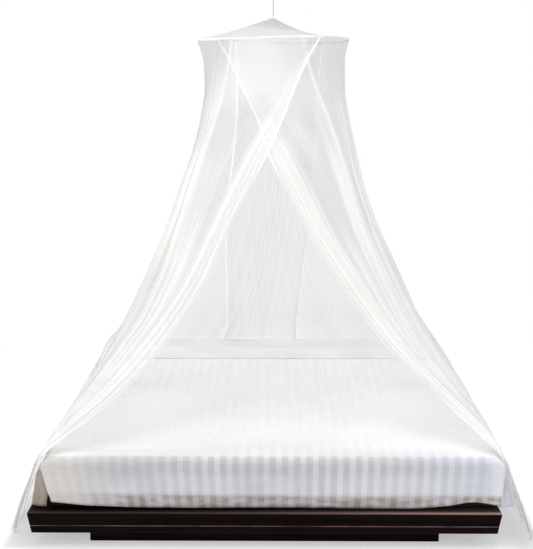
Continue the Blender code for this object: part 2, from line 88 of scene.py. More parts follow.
def make_softbox(box):
    data = bpy.data.lights.new(box.name, "AREA")
    data.shape = "RECTANGLE"
    data.size, data.size_y = box.size
    data.energy = box.power
    data.color = box.color
    lamp = link_object(box.name, data)
    lamp.location = box.place
    lamp.rotation_euler = (Vector(box.aim) - Vector(box.place)).to_track_quat("-Z", "Y").to_euler()


def make_world():
    """White behind the object, and a softer white that lights it."""
    world = bpy.data.worlds.new("studio")
    bpy.context.scene.world = world
    world.use_nodes = True
    tree = world.node_tree
    tree.nodes.clear()
    mix = tree.nodes.new("ShaderNodeMixShader")
    for slot, color, strength in ((1, (0.96, 0.98, 1.0, 1.0), 0.62), (2, (1.0, 1.0, 1.0, 1.0), 1.0)):
        light = tree.nodes.new("ShaderNodeBackground")
        light.inputs["Color"].default_value = color
        light.inputs["Strength"].default_value = strength
        tree.links.new(light.outputs[0], mix.inputs[slot])
    path = tree.nodes.new("ShaderNodeLightPath")
    tree.links.new(path.outputs["Is Camera Ray"], mix.inputs["Fac"])
    tree.links.new(mix.outputs[0], tree.nodes.new("ShaderNodeOutputWorld").inputs["Surface"])


def make_studio():
    make_world()
    for box in SOFTBOXES:
        make_softbox(box)
    scene = bpy.context.scene
    scene.view_settings.view_transform = "Standard"
    scene.cycles.transparent_max_bounces = 48


make_camera()

# ---------------------------------------------------------------- helpers


def add_sheet(name, points, uv, material, masks=None, around=False, flip=False, cut_away=None):
    """A smooth grid of quads; points is (rows, columns, 3), uv is in metres, masks are named values a point.

    around closes each row on itself: its last column repeats its first one. cut_away marks quads left out.
    """
    rows, columns = points.shape[:2]
    kept = columns - 1 if around else columns
    index = np.arange(rows * kept).reshape(rows, kept)
    if around:
        index = np.concatenate([index, index[:, :1]], axis=1)
    corners = []
    for grid in (index, np.arange(rows * columns).reshape(rows, columns)):
        quad = [grid[:-1, :-1], grid[1:, :-1], grid[1:, 1:], grid[:-1, 1:]]
        quads = np.stack(quad[::-1] if flip else quad, axis=-1)
        corners.append(quads.reshape(-1, 4) if cut_away is None else quads[~cut_away])
    used, faces = np.unique(corners[0], return_inverse=True)
    mesh = bpy.data.meshes.new(name)
    mesh.from_pydata(points[:, :kept].reshape(-1, 3)[used].tolist(), [], faces.reshape(-1, 4).tolist())
    layer = mesh.uv_layers.new(name="cloth")
    spread = uv.reshape(-1, 2)[corners[1].reshape(-1)]
    layer.data.foreach_set("uv", spread.astype(np.float32).ravel())
    for key, values in (masks or {}).items():
        attribute = mesh.attributes.new(key, "FLOAT", "POINT")
        attribute.data.foreach_set("value", values[:, :kept].reshape(-1)[used].astype(np.float32))
    mesh.shade_smooth()
    return link_object(name, mesh, material)


def hand_over(piece, stands_for=None):
    """Puts a piece on the one body, and in place of the node that it stands for."""
    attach(piece, "root")
    if stands_for is not None:
        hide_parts(stands_for)


def thicken(piece, thickness):
    solidify = piece.modifiers.new("Thickness", "SOLIDIFY")
    solidify.thickness = thickness
    solidify.offset = 0.0


def run_along(line):
    """How far along a line of points each of them is."""
    return np.concatenate([[0.0], np.cumsum(np.linalg.norm(np.diff(line, axis=0), axis=1))])


def monotone(places, values, where):
    """A smooth curve through the values that never overshoots between them, read at an array of places."""
    places, values = np.asarray(places, float), np.asarray(values, float)
    where = np.clip(where, places[0], places[-1])
    spans = np.diff(places)
    slopes = np.diff(values) / spans
    before, after = slopes[:-1], slopes[1:]
    same = before * after > 0
    inner = np.where(same, 2.0 * before * after / np.where(same, before + after, 1.0), 0.0)
    tangents = np.concatenate([slopes[:1], inner, slopes[-1:]])
    k = np.clip(np.searchsorted(places, where, side="left") - 1, 0, len(spans) - 1)
    t = (where - places[k]) / spans[k]
    return (
        values[k] * (1 + 2 * t) * (1 - t) ** 2
        + spans[k] * tangents[k] * t * (1 - t) ** 2
        + values[k + 1] * t * t * (3 - 2 * t)
        - spans[k] * tangents[k + 1] * t * t * (1 - t)
    )


def table(kind, *rows):
    return [kind(*row) for row in rows]


def read_table(rows, column, height):
    """One column of a table whose rows go down from the hoop, read at heights."""
    places = [-row.height for row in rows]
    return monotone(places, [getattr(row, column) for row in rows], -np.asarray(height))


def smooth_step(low, high, value):
    t = np.clip((value - low) / (high - low), 0.0, 1.0)
    return t * t * (3 - 2 * t)


def stretch_mask(spans, share):
    """1 along a stretch of a width, 0 off it; the two spans say where it starts and where it ends."""
    start, end = spans
    return smooth_step(*start, share) * smooth_step(*end, share)


def wander(places, wave, seed, count=7):
    """An uneven soft curve from -1 to 1 over an array of places, whose shortest wave is about that long."""
    draw = np.random.default_rng(seed)
    total = np.zeros_like(places, dtype=float)
    for _ in range(count):
        length = wave * draw.uniform(1.0, 3.0)
        total = total + np.sin(2.0 * np.pi * (places / length + draw.uniform()))
    return total / count**0.5 / 1.4


# ---------------------------------------------------------------- the hung net's form, as the solids have it

HOOP_HEIGHT = 2.177
HOOP_RADIUS = 0.371
HOOP_WARP = 0.006
CASING_REACH = 0.0046        # from the middle of the rod to the outside of its casing
CASING_OPEN = 80.0           # degrees open on the inner side
TOP_LEVEL = 2.1726
HEM_LEVEL = 0.0012

# Half sizes of each level cut, how square it is (2 is a circle), how deep its main folds are, and how far
# the left curtain hangs outside the right one where they overlap.
Section = namedtuple("Section", "height left right front rear squareness fold_depth lap")
SECTIONS = table(
    Section,
    (2.1720, 0.3710, 0.3710, 0.3710, 0.3710, 2.0, 0.0000, 0.0050),
    (2.0700, 0.3430, 0.3520, 0.3650, 0.3660, 2.0, 0.0030, 0.0100),
    (1.9500, 0.3380, 0.3520, 0.3700, 0.3740, 2.1, 0.0070, 0.0140),
    (1.8000, 0.3600, 0.3740, 0.3880, 0.4000, 2.2, 0.0100, 0.0170),
    (1.6600, 0.3950, 0.4060, 0.4200, 0.4300, 2.3, 0.0130, 0.0190),
    (1.5000, 0.4520, 0.4430, 0.4650, 0.4650, 2.5, 0.0150, 0.0210),
    (1.3000, 0.5180, 0.5080, 0.5300, 0.5200, 2.9, 0.0180, 0.0240),
    (1.1000, 0.5950, 0.5960, 0.6000, 0.5900, 3.5, 0.0210, 0.0270),
    (0.9300, 0.6640, 0.6690, 0.6650, 0.6600, 4.3, 0.0230, 0.0290),
    (0.8000, 0.7220, 0.7240, 0.7250, 0.7250, 5.6, 0.0240, 0.0300),
    (0.6200, 0.8220, 0.8360, 0.8250, 0.8350, 8.0, 0.0230, 0.0300),
    (0.4800, 0.9180, 0.9420, 0.9400, 0.9300, 15.0, 0.0160, 0.0260),
    (0.4180, 0.9800, 0.9890, 0.9950, 1.0080, 28.0, 0.0080, 0.0200),
    (0.3800, 1.0050, 1.0090, 1.0150, 1.0320, 32.0, 0.0080, 0.0200),
    (0.2500, 1.0560, 1.0580, 1.0340, 1.0560, 32.0, 0.0120, 0.0240),
    (0.1300, 1.1030, 1.1030, 1.0500, 1.0760, 30.0, 0.0180, 0.0280),
    (0.0010, 1.1420, 1.1450, 1.0600, 1.0880, 30.0, 0.0260, 0.0320),
)

# Where lines of thread of one curtain cross each level: its front edge, the outer side of the dense band
# next to it, the inner side of the next folds, and its rear edge. The middle line keeps to the net's side.
Lines = namedtuple("Lines", "height edge band gap rear")
LINE_PLACES = (0.0, 0.15, 0.25, 0.5, 1.0)
SIDE_ANGLE = 90.0
LEFT_LINES = table(
    Lines,
    (2.1720, -34.5, -28.0, 30.0, 223.5),
    (2.0700, -24.2, -17.0, 33.5, 220.8),
    (1.9500, -14.5, -8.5, 37.2, 217.4),
    (1.8000, -5.0, 3.5, 41.8, 214.2),
    (1.6600, 4.0, 14.7, 46.0, 210.6),
    (1.5000, 13.2, 23.4, 47.4, 206.2),
    (1.3000, 22.3, 30.2, 45.6, 201.8),
    (1.1000, 27.2, 34.6, 43.6, 197.6),
    (0.9300, 32.3, 38.6, 44.0, 194.2),
    (0.8000, 35.6, 41.4, 45.6, 192.2),
    (0.6200, 40.4, 44.8, 48.2, 189.8),
    (0.4800, 44.2, 47.0, 50.4, 188.2),
    (0.4050, 45.3, 48.2, 52.0, 187.6),
    (0.2500, 48.8, 52.0, 57.0, 187.2),
    (0.0010, 52.4, 57.0, 63.0, 187.0),
)
RIGHT_LINES = table(
    Lines,
    (2.1720, -42.6, -37.0, 20.8, 211.0),
    (2.0700, -32.7, -26.0, 25.5, 210.8),
    (1.9500, -22.0, -17.0, 32.0, 210.4),
    (1.8000, -9.5, -4.0, 41.5, 208.9),
    (1.6600, -2.8, 9.0, 46.5, 208.1),
    (1.5000, 7.4, 18.8, 48.6, 207.8),
    (1.3000, 17.6, 27.0, 48.0, 206.4),
    (1.1000, 26.6, 34.6, 47.6, 204.2),
    (0.9300, 33.2, 39.2, 47.6, 202.0),
    (0.8000, 37.0, 42.0, 48.2, 200.2),
    (0.6200, 43.2, 46.2, 50.0, 198.0),
    (0.4800, 45.0, 48.3, 51.8, 196.8),
    (0.4050, 45.5, 49.0, 53.0, 196.3),
    (0.2500, 48.5, 53.0, 58.0, 195.8),
    (0.0010, 50.6, 57.0, 64.0, 195.5),
)

# The main folds in turn, from a curtain's front edge: how much of its width each takes, and how deep it is
# for the fold depth of the level.
Pleat = namedtuple("Pleat", "share depth")
LEFT_PLEATS = table(
    Pleat,
    (0.045, 0.45), (0.055, 0.60), (0.050, 0.50), (0.075, 0.35), (0.060, 1.00),
    (0.070, 0.70), (0.085, 1.20), (0.075, 0.80), (0.090, 1.10), (0.070, 0.65),
    (0.095, 1.25), (0.080, 0.75), (0.085, 1.00), (0.065, 0.50),
)
RIGHT_PLEATS = table(
    Pleat,
    (0.055, 0.55), (0.045, 0.45), (0.060, 0.50), (0.070, 0.40), (0.065, 0.90),
    (0.075, 1.15), (0.065, 0.70), (0.090, 1.20), (0.070, 0.80), (0.085, 1.10),
    (0.080, 0.65), (0.090, 0.90), (0.070, 0.55), (0.080, 0.35),
)

# ---------------------------------------------------------------- shader groups


class Wiring:
    """Short cuts that put nodes in a tree and join them. A value is a number, a colour or a socket."""

    def __init__(self, tree):
        self.tree = tree

    def node(self, kind, **settings):
        made = self.tree.nodes.new(kind)
        for key, value in settings.items():
            setattr(made, key, value)
        return made

    def join(self, value, slot):
        if isinstance(value, (int, float)):
            slot.default_value = value
        elif isinstance(value, tuple):
            slot.default_value = (*value, 1.0)
        else:
            self.tree.links.new(value, slot)

    def fill(self, node, values):
        for slot, value in values.items():
            self.join(value, node.inputs[slot])

    def math(self, operation, *values):
        made = self.node("ShaderNodeMath", operation=operation)
        self.fill(made, dict(enumerate(values)))
        return made.outputs[0]

    def times(self, product, *others):
        for other in others:
            product = self.math("MULTIPLY", product, other)
        return product

    def off(self, value, middle):
        """How far a value is from a middle one."""
        return self.math("ABSOLUTE", self.math("SUBTRACT", value, middle))

    def ramp(self, value, low, high, new_low=0.0, new_high=1.0, smooth=True):
        shape = "SMOOTHSTEP" if smooth else "LINEAR"
        made = self.node("ShaderNodeMapRange", clamp=True, interpolation_type=shape)
        self.fill(made, {"Value": value, "From Min": low, "From Max": high})
        self.fill(made, {"To Min": new_low, "To Max": new_high})
        return made.outputs[0]

    def mix(self, mask, first, second, blend="MIX"):
        made = self.node("ShaderNodeMix", data_type="RGBA", blend_type=blend)
        self.fill(made, {"Factor": mask, 6: first, 7: second})
        return made.outputs[2]

    def noise(self, place, scale=1.0, detail=3.0, roughness=0.5, stretch=None):
        if stretch is not None:
            scaled = self.node("ShaderNodeVectorMath", operation="MULTIPLY")
            self.join(place, scaled.inputs[0])
            scaled.inputs[1].default_value = stretch
            place = scaled.outputs[0]
        made = self.node("ShaderNodeTexNoise")
        self.fill(made, {"Vector": place, "Scale": scale, "Detail": detail, "Roughness": roughness})
        return made.outputs["Fac"]

    def split(self, place):
        made = self.node("ShaderNodeSeparateXYZ")
        self.join(place, made.inputs[0])
        return made.outputs["X"], made.outputs["Y"], made.outputs["Z"]

    def group(self, group, place, **values):
        made = self.node("ShaderNodeGroup", node_tree=group)
        self.fill(made, {"Place": place, **{label.capitalize(): value for label, value in values.items()}})
        return made.outputs


def new_group(name, outputs, **inputs):
    """A node group that is given a Place and numbers: its wiring, what comes in, and what goes out."""
    tree = bpy.data.node_groups.new(name, "ShaderNodeTree")
    tree.interface.new_socket(name="Place", in_out="INPUT", socket_type="NodeSocketVector")
    for label, value in inputs.items():
        label = label.capitalize()
        socket = tree.interface.new_socket(name=label, in_out="INPUT", socket_type="NodeSocketFloat")
        socket.default_value = value
    for label in outputs:
        tree.interface.new_socket(name=label, in_out="OUTPUT", socket_type="NodeSocketFloat")
    wiring = Wiring(tree)
    return wiring, wiring.node("NodeGroupInput").outputs, wiring.node("NodeGroupOutput").inputs


def weave_group():
    """Crossing threads on a cloth's own UV map: how high they stand, and how open their gaps are."""
    wiring, given, made = new_group("thread_weave", ("Height", "Gaps"), pitch=0.001)
    waves = []
    for across in wiring.split(given["Place"])[:2]:
        turns = wiring.times(wiring.math("DIVIDE", across, given["Pitch"]), math.tau)
        waves.append(wiring.math("MULTIPLY_ADD", wiring.math("SINE", turns), 0.5, 0.5))
    height = wiring.math("MAXIMUM", *waves)
    wiring.join(height, made["Height"])
    wiring.join(wiring.ramp(wiring.math("SUBTRACT", 1.0, height), 0.12, 0.45), made["Gaps"])
    return wiring.tree


def streak_group():
    """Uneven streaks that run down a hung cloth, from its UV map: fine and broad ones, 0.5 on the whole."""
    wiring, given, made = new_group("hanging_streaks", ("Fine", "Broad"))
    wiring.join(wiring.noise(given["Place"], detail=1.6, stretch=(42.0, 0.30, 1.0)), made["Fine"])
    wiring.join(wiring.noise(given["Place"], detail=1.5, stretch=(13.0, 0.45, 1.0)), made["Broad"])
    return wiring.tree


def stripe_group():
    """Stripes across a cloth's own UV map: 1 on the satin, 0 on the plain ground, and thin lines beside."""
    wiring, given, made = new_group("satin_stripes", ("Satin", "Lines"), pitch=0.052)
    turns = wiring.math("DIVIDE", wiring.split(given["Place"])[0], given["Pitch"])
    from_middle = wiring.off(wiring.math("FRACT", wiring.math("ADD", turns, 100.0)), 0.5)
    wiring.join(wiring.ramp(from_middle, 0.215, 0.255, 1.0, 0.0), made["Satin"])
    wiring.join(wiring.ramp(wiring.off(from_middle, 0.36), 0.018, 0.045, 1.0, 0.0), made["Lines"])
    return wiring.tree


def grain_group():
    """Wood grain along X: long dark streaks with a finer pore texture."""
    wiring, given, made = new_group("wood_grain", ("Streaks", "Pores"))
    streaks = wiring.noise(given["Place"], detail=5.0, roughness=0.6, stretch=(1.6, 34.0, 60.0))
    wiring.join(streaks, made["Streaks"])
    wiring.join(wiring.noise(given["Place"], detail=2.0, stretch=(40.0, 900.0, 900.0)), made["Pores"])
    return wiring.tree


def cloud_group():
    """Soft clouds that go from 0 to 1, for the two tones of a mottled cloth."""
    wiring, given, made = new_group("soft_clouds", ("Clouds",), scale=5.0, detail=4.0)
    clouds = wiring.noise(given["Place"], given["Scale"], given["Detail"])
    wiring.join(wiring.ramp(clouds, 0.3, 0.7), made["Clouds"])
    return wiring.tree


WEAVE = weave_group()
STREAKS = streak_group()
STRIPES = stripe_group()
GRAIN = grain_group()
CLOUDS = cloud_group()

# ---------------------------------------------------------------- materials

NET_PITCH = 0.0016
AGED_BELOW = 1.95            # the netting is a little yellowed below this height
TAPE_GREYEST_BELOW = 0.44            # the front tapes are greyest below this height
TAPE_PITCH = 0.0007
COTTON_PITCH = 0.0006
STRIPE_PITCH = 0.053
FOOT_FROM = -0.60            # the bedspread is painted greyer, as shade, from here to the foot of the bed
MATTRESS_SHADE_TOP = 0.215           # top of the mattress's near-black band of painted shade
HIGHLIGHT_LINE = 0.0980           # height of the painted pale highlight line along the upper board's lower edge
FLOOR_LIT = 1.90             # how far from the middle the floor shows its shadows
FLOOR_WHITE = 3.0            # and how far from it the floor turns plain white


def gray(level):
    return (level, level, level)


class Finish(Wiring):
    """A material with one Principled shader, and the places and masks that its pattern is laid out on."""

    def __init__(self, name, roughness=0.8, metallic=0.0, specular=0.3):
        self.material = bpy.data.materials.new(name)
        self.material.use_nodes = True
        super().__init__(self.material.node_tree)
        self.shader = self.tree.nodes["Principled BSDF"]
        self.fill(self.shader, {"Roughness": roughness, "Metallic": metallic})
        self.feed("Specular IOR Level", specular)

    def cloth_place(self):
        return self.node("ShaderNodeUVMap", uv_map="cloth").outputs[0]

    def object_place(self):
        return self.node("ShaderNodeTexCoord").outputs["Object"]

    def mask(self, name):
        return self.node("ShaderNodeAttribute", attribute_name=name).outputs["Fac"]

    def feed(self, label, value):
        self.join(value, self.shader.inputs[label])

    def shine(self, color, strength):
        self.fill(self.shader, {"Emission Color": color, "Emission Strength": strength})

    def bump(self, height, distance, strength):
        made = self.node("ShaderNodeBump")
        self.fill(made, {"Distance": distance, "Strength": strength, "Height": height})
        self.feed("Normal", made.outputs[0])


def netting_finish(name, shade, gathered_color, light, cover, glow):
    """Sheer netting: the more gathered, the less see-through, and the nearer to its second colour.

    The mask gather counts the layers' worth of cloth, lightness is painted light and shade that leans to the
    third colour, thread is the thread's place across the cloth in metres, and streaks says how unevenly the
    threads are spread. The colours are painted light and shade: thin net is painted grey as in shade,
    gathered net nearer white as if lit, the third colour is a painted lit white, and the glow is painted
    light that stands in for light through the net.
    """
    finish = Finish(name, roughness=0.75, specular=0.2)
    place = finish.cloth_place()
    along_threads = finish.node("ShaderNodeCombineXYZ")
    finish.join(finish.mask("thread"), along_threads.inputs["X"])
    finish.join(finish.split(place)[1], along_threads.inputs["Y"])
    streaks = finish.group(STREAKS, along_threads.outputs[0])
    fine = finish.math("MULTIPLY_ADD", streaks["Fine"], 1.8, 0.10)
    broad = finish.math("MULTIPLY_ADD", streaks["Broad"], 1.3, 0.35)
    uneven = finish.math("SUBTRACT", finish.times(fine, broad), 1.0)
    uneven = finish.math("MULTIPLY_ADD", uneven, finish.mask("streaks"), 1.0)
    gathered = finish.times(finish.mask("gather"), uneven)
    density = finish.ramp(gathered, 0.4, 3.6)
    leaning = finish.math("MULTIPLY_ADD", density, 0.9, -0.32)
    # painted light and shade: the painted light mask and the gathering lean the colour to the painted lit
    # white
    painted_whiteness = finish.math("ADD", finish.mask("painted_lightness"), leaning)
    color = finish.mix(density, shade, gathered_color)
    color = finish.mix(finish.ramp(painted_whiteness, 0.0, 1.0, smooth=False), color, light)
    height = finish.split(finish.object_place())[2]
    aged = finish.ramp(height, AGED_BELOW - 0.25, AGED_BELOW, 1.0, 0.0)
    color = finish.mix(aged, color, (1.0, 0.988, 0.965), blend="MULTIPLY")
    solid = finish.math("SUBTRACT", 1.0, finish.math("EXPONENT", finish.times(gathered, -cover)))
    weave = finish.group(WEAVE, place, pitch=NET_PITCH)
    finish.feed("Base Color", color)
    finish.feed("Alpha", finish.times(solid, finish.math("MULTIPLY_ADD", weave["Gaps"], -0.22, 1.08)))
    # painted glow: it stands in for light that comes through the net
    finish.shine(color, glow)
    finish.bump(weave["Height"], 0.0002, 0.5)
    return finish.material


def woven_tape(name, shade, light):
    """The start of a tape's finish, with its weave, and its mottled tone."""
    finish = Finish(name, roughness=0.85, specular=0.2)
    weave = finish.group(WEAVE, finish.cloth_place(), pitch=TAPE_PITCH)
    finish.bump(weave["Height"], 0.0002, 0.6)
    clouds = finish.group(CLOUDS, finish.object_place(), scale=60.0, detail=3.0)
    return finish, finish.mix(clouds["Clouds"], shade, light)


def tape_finish(name, color, glow, lower_color=None, lower_from=0.0, greyest_near_floor=False):
    """Woven cotton tape with a painted glow; below a height it is given a lower colour and less of that
    glow.
    """
    finish, tone = woven_tape(name, tuple(0.90 * c for c in color), color)
    glowing = tone
    if lower_color is not None:
        height = finish.split(finish.object_place())[2]
        below = finish.ramp(height, lower_from - 0.35, lower_from, 1.0, 0.0)
        tone = finish.mix(below, tone, lower_color)
        glowing = finish.mix(below, tone, tuple(0.45 * c for c in lower_color))
        if greyest_near_floor:
            at_floor = finish.ramp(height, TAPE_GREYEST_BELOW - 0.08, TAPE_GREYEST_BELOW, 1.0, 0.0)
            tone = finish.mix(at_floor, tone, (0.56, 0.54, 0.50))
            glowing = finish.mix(at_floor, glowing, gray(0.05))
    finish.feed("Base Color", tone)
    # painted glow: the tape is made to glow though it is no lamp
    finish.shine(glowing, glow)
    return finish.material


def casing_finish():
    """The hoop's casing: stitched tape with a painted glow, duller on its right side."""
    finish, plain_tone = woven_tape("hoop_casing_tape", gray(0.84), gray(0.92))
    right_side = finish.ramp(finish.split(finish.object_place())[0], 0.20, 0.25)
    tone = finish.mix(right_side, plain_tone, gray(0.72))
    finish.feed("Base Color", tone)
    # painted glow, as on the tapes
    finish.shine(tone, 0.16)
    return finish.material


def bed_top_tone(finish, clouds, y, from_middle):
    """White cotton with painted shade: greyer towards the foot in the middle, and duller in a strip beside
    the front edge, less so at the corners.
    """
    ground = finish.mix(clouds, (0.865, 0.865, 0.87), (0.895, 0.895, 0.90))
    foot = finish.times(
        finish.ramp(y, FOOT_FROM, FOOT_FROM - 0.35), finish.ramp(from_middle, 0.45, 0.95, 1.0, 0.0)
    )
    ground = finish.mix(foot, ground, (0.715, 0.715, 0.725))
    painted_edge_shade = finish.times(
        finish.ramp(y, -0.84, -0.92),
        finish.ramp(from_middle, 0.35, 0.65),
        finish.ramp(from_middle, 0.72, 0.92, 1.0, 0.10),
    )
    return finish.mix(painted_edge_shade, ground, (0.73, 0.73, 0.735))


def flap_tone(finish, clouds, x, z, painted_cool_light):
    """The hanging flap, painted darker than the top as shade: greyer still high on it under its bend, with a
    painted warm light tint towards the left, a painted cool light tint towards the right, and painted
    light at its right end.
    """
    flap = finish.mix(clouds, (0.60, 0.60, 0.625), (0.68, 0.68, 0.70))
    flap = finish.mix(finish.ramp(z, 0.29, 0.35, 0.0, 0.80), flap, (0.52, 0.52, 0.54))
    painted_warm_light = finish.ramp(x, -0.98, -0.62, 1.0, 0.0)
    flap = finish.mix(finish.times(painted_warm_light, 0.75), flap, (0.74, 0.69, 0.63))
    flap = finish.mix(finish.times(painted_cool_light, 0.55), flap, (0.64, 0.68, 0.78))
    return finish.mix(finish.ramp(x, 0.925, 0.955), flap, (0.80, 0.80, 0.83))


def striped_finish():
    """The bedspread's cotton with tone-on-tone satin stripes: they show by gloss more than by colour, and
    their whiter colour is partly their own and partly painted sheen.

    The mask hanging says where it hangs down, which is painted darker as shade; under_crease where its
    lowest part turns in, which is painted a brownish shade; and plain where it hangs at the sides, which
    have no stripes at their front ends and are painted there with shade. The top has a faint painted light.
    """
    finish = Finish("satin_striped_cotton", specular=0.35)
    place = finish.cloth_place()
    stripes = finish.group(STRIPES, place, pitch=STRIPE_PITCH)
    weave = finish.group(WEAVE, place, pitch=COTTON_PITCH)
    clouds = finish.group(CLOUDS, place, scale=7.0, detail=4.0)["Clouds"]
    x, y, z = finish.split(finish.object_place())
    from_middle = finish.math("ABSOLUTE", x)
    hanging = finish.mask("hanging")
    painted_cool_light = finish.ramp(x, 0.3, 1.0)
    satin_tone_and_sheen = (0.93, 0.93, 0.95)
    tone = finish.mix(
        hanging, bed_top_tone(finish, clouds, y, from_middle), flap_tone(finish, clouds, x, z, painted_cool_light)
    )
    # painted shade on the side drops' front ends, tan at the left and cool grey at the right
    end = finish.times(finish.mask("plain"), finish.ramp(y, -0.86, -0.97))
    tone = finish.mix(end, tone, finish.mix(painted_cool_light, (0.34, 0.29, 0.22), (0.66, 0.66, 0.74)))
    patchy = finish.noise(place, detail=2.0, stretch=(3.0, 5.0, 1.0))
    # partly painted sheen: the stripes show less on the top than on the hanging flap, and less at the left
    strength = finish.times(
        finish.ramp(hanging, 0.0, 1.0, 0.36, 0.47, smooth=False),
        finish.ramp(patchy, 0.30, 0.65, 0.35, 1.0),
        finish.ramp(x, -0.95, 0.0, 0.30, 1.0),
        finish.ramp(x, 0.45, 0.90, 1.0, 0.72),
        finish.math("SUBTRACT", 1.0, end),
    )
    tone = finish.mix(finish.times(stripes["Satin"], strength), tone, satin_tone_and_sheen)
    tone = finish.mix(finish.times(stripes["Lines"], strength, 0.5), tone, satin_tone_and_sheen)
    # painted shade in thin crease lines, stronger on the side drops' front ends
    crease = finish.off(finish.noise(place, detail=2.0, stretch=(3.2, 22.0, 1.0)), 0.5)
    crease = finish.ramp(crease, 0.0, 0.10, 0.07, 0.0)
    painted_crease_shade = finish.times(crease, finish.math("MULTIPLY_ADD", end, 5.0, hanging))
    tone = finish.mix(painted_crease_shade, tone, (0.46, 0.44, 0.44))
    # painted shade, brownish, in patches where the flap's lowest part turns in over the ledge
    patch = finish.ramp(finish.noise(place, stretch=(9.0, 30.0, 1.0)), 0.30, 0.62, 0.10, 1.0)
    painted_tuck_shade = finish.mix(stripes["Satin"], (0.40, 0.345, 0.31), (0.56, 0.51, 0.48))
    finish.feed("Base Color", finish.mix(finish.times(finish.mask("under_crease"), patch), tone, painted_tuck_shade))
    finish.feed("Roughness", finish.ramp(stripes["Satin"], 0.0, 1.0, 0.78, 0.42, smooth=False))
    # painted light: a faint glow on the top's sides, towards the foot but short of the front edge
    painted_top_light = finish.times(
        finish.ramp(y, 0.10, -0.25),
        finish.ramp(y, -0.86, -0.95, 1.0, 0.0),
        finish.ramp(from_middle, 0.15, 0.65),
    )
    finish.shine(finish.mix(painted_top_light, gray(0.0), gray(0.10)), 1.0)
    wrinkles = finish.noise(place, stretch=(7.0, 70.0, 1.0))
    wrinkles = finish.times(wrinkles, finish.ramp(hanging, 0.0, 1.0, 0.8, 16.0))
    height = finish.math("MULTIPLY_ADD", stripes["Satin"], 0.4, weave["Height"])
    finish.bump(finish.math("ADD", height, wrinkles), 0.00025, 0.7)
    return finish.material


def linen_finish(name, light, shade, shade_band_top=None):
    """Plain cotton: a fine weave with soft uneven tone, and up to a height a near-black band of painted
    shade.
    """
    finish = Finish(name, roughness=0.82, specular=0.25)
    place = finish.object_place()
    weave = finish.group(WEAVE, place, pitch=TAPE_PITCH)
    tone = finish.mix(finish.group(CLOUDS, place, scale=5.0, detail=5.0)["Clouds"], shade, light)
    if shade_band_top is not None:
        shade_band = finish.ramp(finish.split(place)[2], shade_band_top, shade_band_top + 0.004, 1.0, 0.0)
        tone = finish.mix(shade_band, tone, (0.012, 0.010, 0.010))
    finish.feed("Base Color", tone)
    creases = finish.noise(place, 9.0, detail=4.0, stretch=(1.0, 2.5, 1.0))
    finish.bump(finish.math("MULTIPLY_ADD", creases, 6.0, weave["Height"]), 0.0004, 0.5)
    return finish.material


def wood_finish():
    """Very dark stained boards with long grain, a painted lighter brown sheen on the ledge, and a painted
    pale highlight line along one lower edge.
    """
    finish = Finish("espresso_wood", specular=0.03)
    place = finish.object_place()
    grain = finish.group(GRAIN, place)
    streaks = finish.ramp(grain["Streaks"], 0.35, 0.70)
    dark = finish.mix(streaks, (0.0024, 0.0008, 0.0008), (0.0080, 0.0030, 0.0028))
    x, y, z = finish.split(place)
    upward = finish.split(finish.node("ShaderNodeNewGeometry").outputs["Normal"])[2]
    to_right = finish.math("POWER", finish.ramp(x, -0.9, 0.85, smooth=False), 2.8)
    # painted sheen: the ledge's upward faces are lighter brown, more so to the right and at the front edge
    ledge = finish.times(
        finish.ramp(upward, 0.5, 0.95),
        finish.math("MULTIPLY_ADD", to_right, 0.9, 0.1),
        finish.ramp(y, -0.996, -1.024, 0.15, 1.0),
    )
    ledge_with_sheen = finish.mix(ledge, dark, (0.42, 0.285, 0.24))
    # painted highlight: a pale broken line along the upper board's lower edge
    line = finish.ramp(finish.off(z, HIGHLIGHT_LINE), 0.0008, 0.0026, 1.0, 0.0)
    broken = finish.noise(place, detail=2.0, stretch=(5.0, 5.0, 0.1))
    line = finish.times(line, finish.ramp(broken, 0.35, 0.65, 0.25, 1.0))
    finish.feed("Base Color", finish.mix(line, ledge_with_sheen, (0.30, 0.22, 0.20)))
    finish.feed("Roughness", finish.ramp(grain["Pores"], 0.2, 0.8, 0.30, 0.50))
    finish.bump(grain["Pores"], 0.0003, 0.35)
    return finish.material


def rod_finish():
    """White coated wire with a few scuffs."""
    finish = Finish("white_coated_wire", roughness=0.4, specular=0.5)
    scuffs = finish.ramp(finish.noise(finish.object_place(), 90.0, detail=4.0), 0.62, 0.72)
    finish.feed("Base Color", finish.mix(scuffs, gray(0.86), gray(0.6)))
    return finish.material


def steel_finish():
    finish = Finish("dull_steel", metallic=1.0, specular=0.5)
    cloud = finish.noise(finish.object_place(), 700.0, detail=4.0)
    finish.feed("Base Color", finish.mix(cloud, (0.16, 0.16, 0.17), (0.34, 0.34, 0.35)))
    finish.feed("Roughness", finish.ramp(cloud, 0.2, 0.8, 0.28, 0.5))
    return finish.material


def cord_finish():
    """Braided cord: two sets of strands that wind round it."""
    finish = Finish("braided_cord", roughness=0.8, specular=0.2)
    x, y, z = finish.split(finish.object_place())
    round_it = finish.math("ARCTAN2", y, x)
    along = finish.times(z, 1500.0)
    strands = []
    for turns in (3.0, -3.0):
        strands.append(finish.math("SINE", finish.math("MULTIPLY_ADD", round_it, turns, along)))
    braid = finish.math("MULTIPLY_ADD", finish.math("MAXIMUM", *strands), 0.5, 0.5)
    finish.feed("Base Color", finish.mix(braid, gray(0.20), (0.50, 0.50, 0.49)))
    finish.bump(braid, 0.0003, 0.8)
    return finish.material


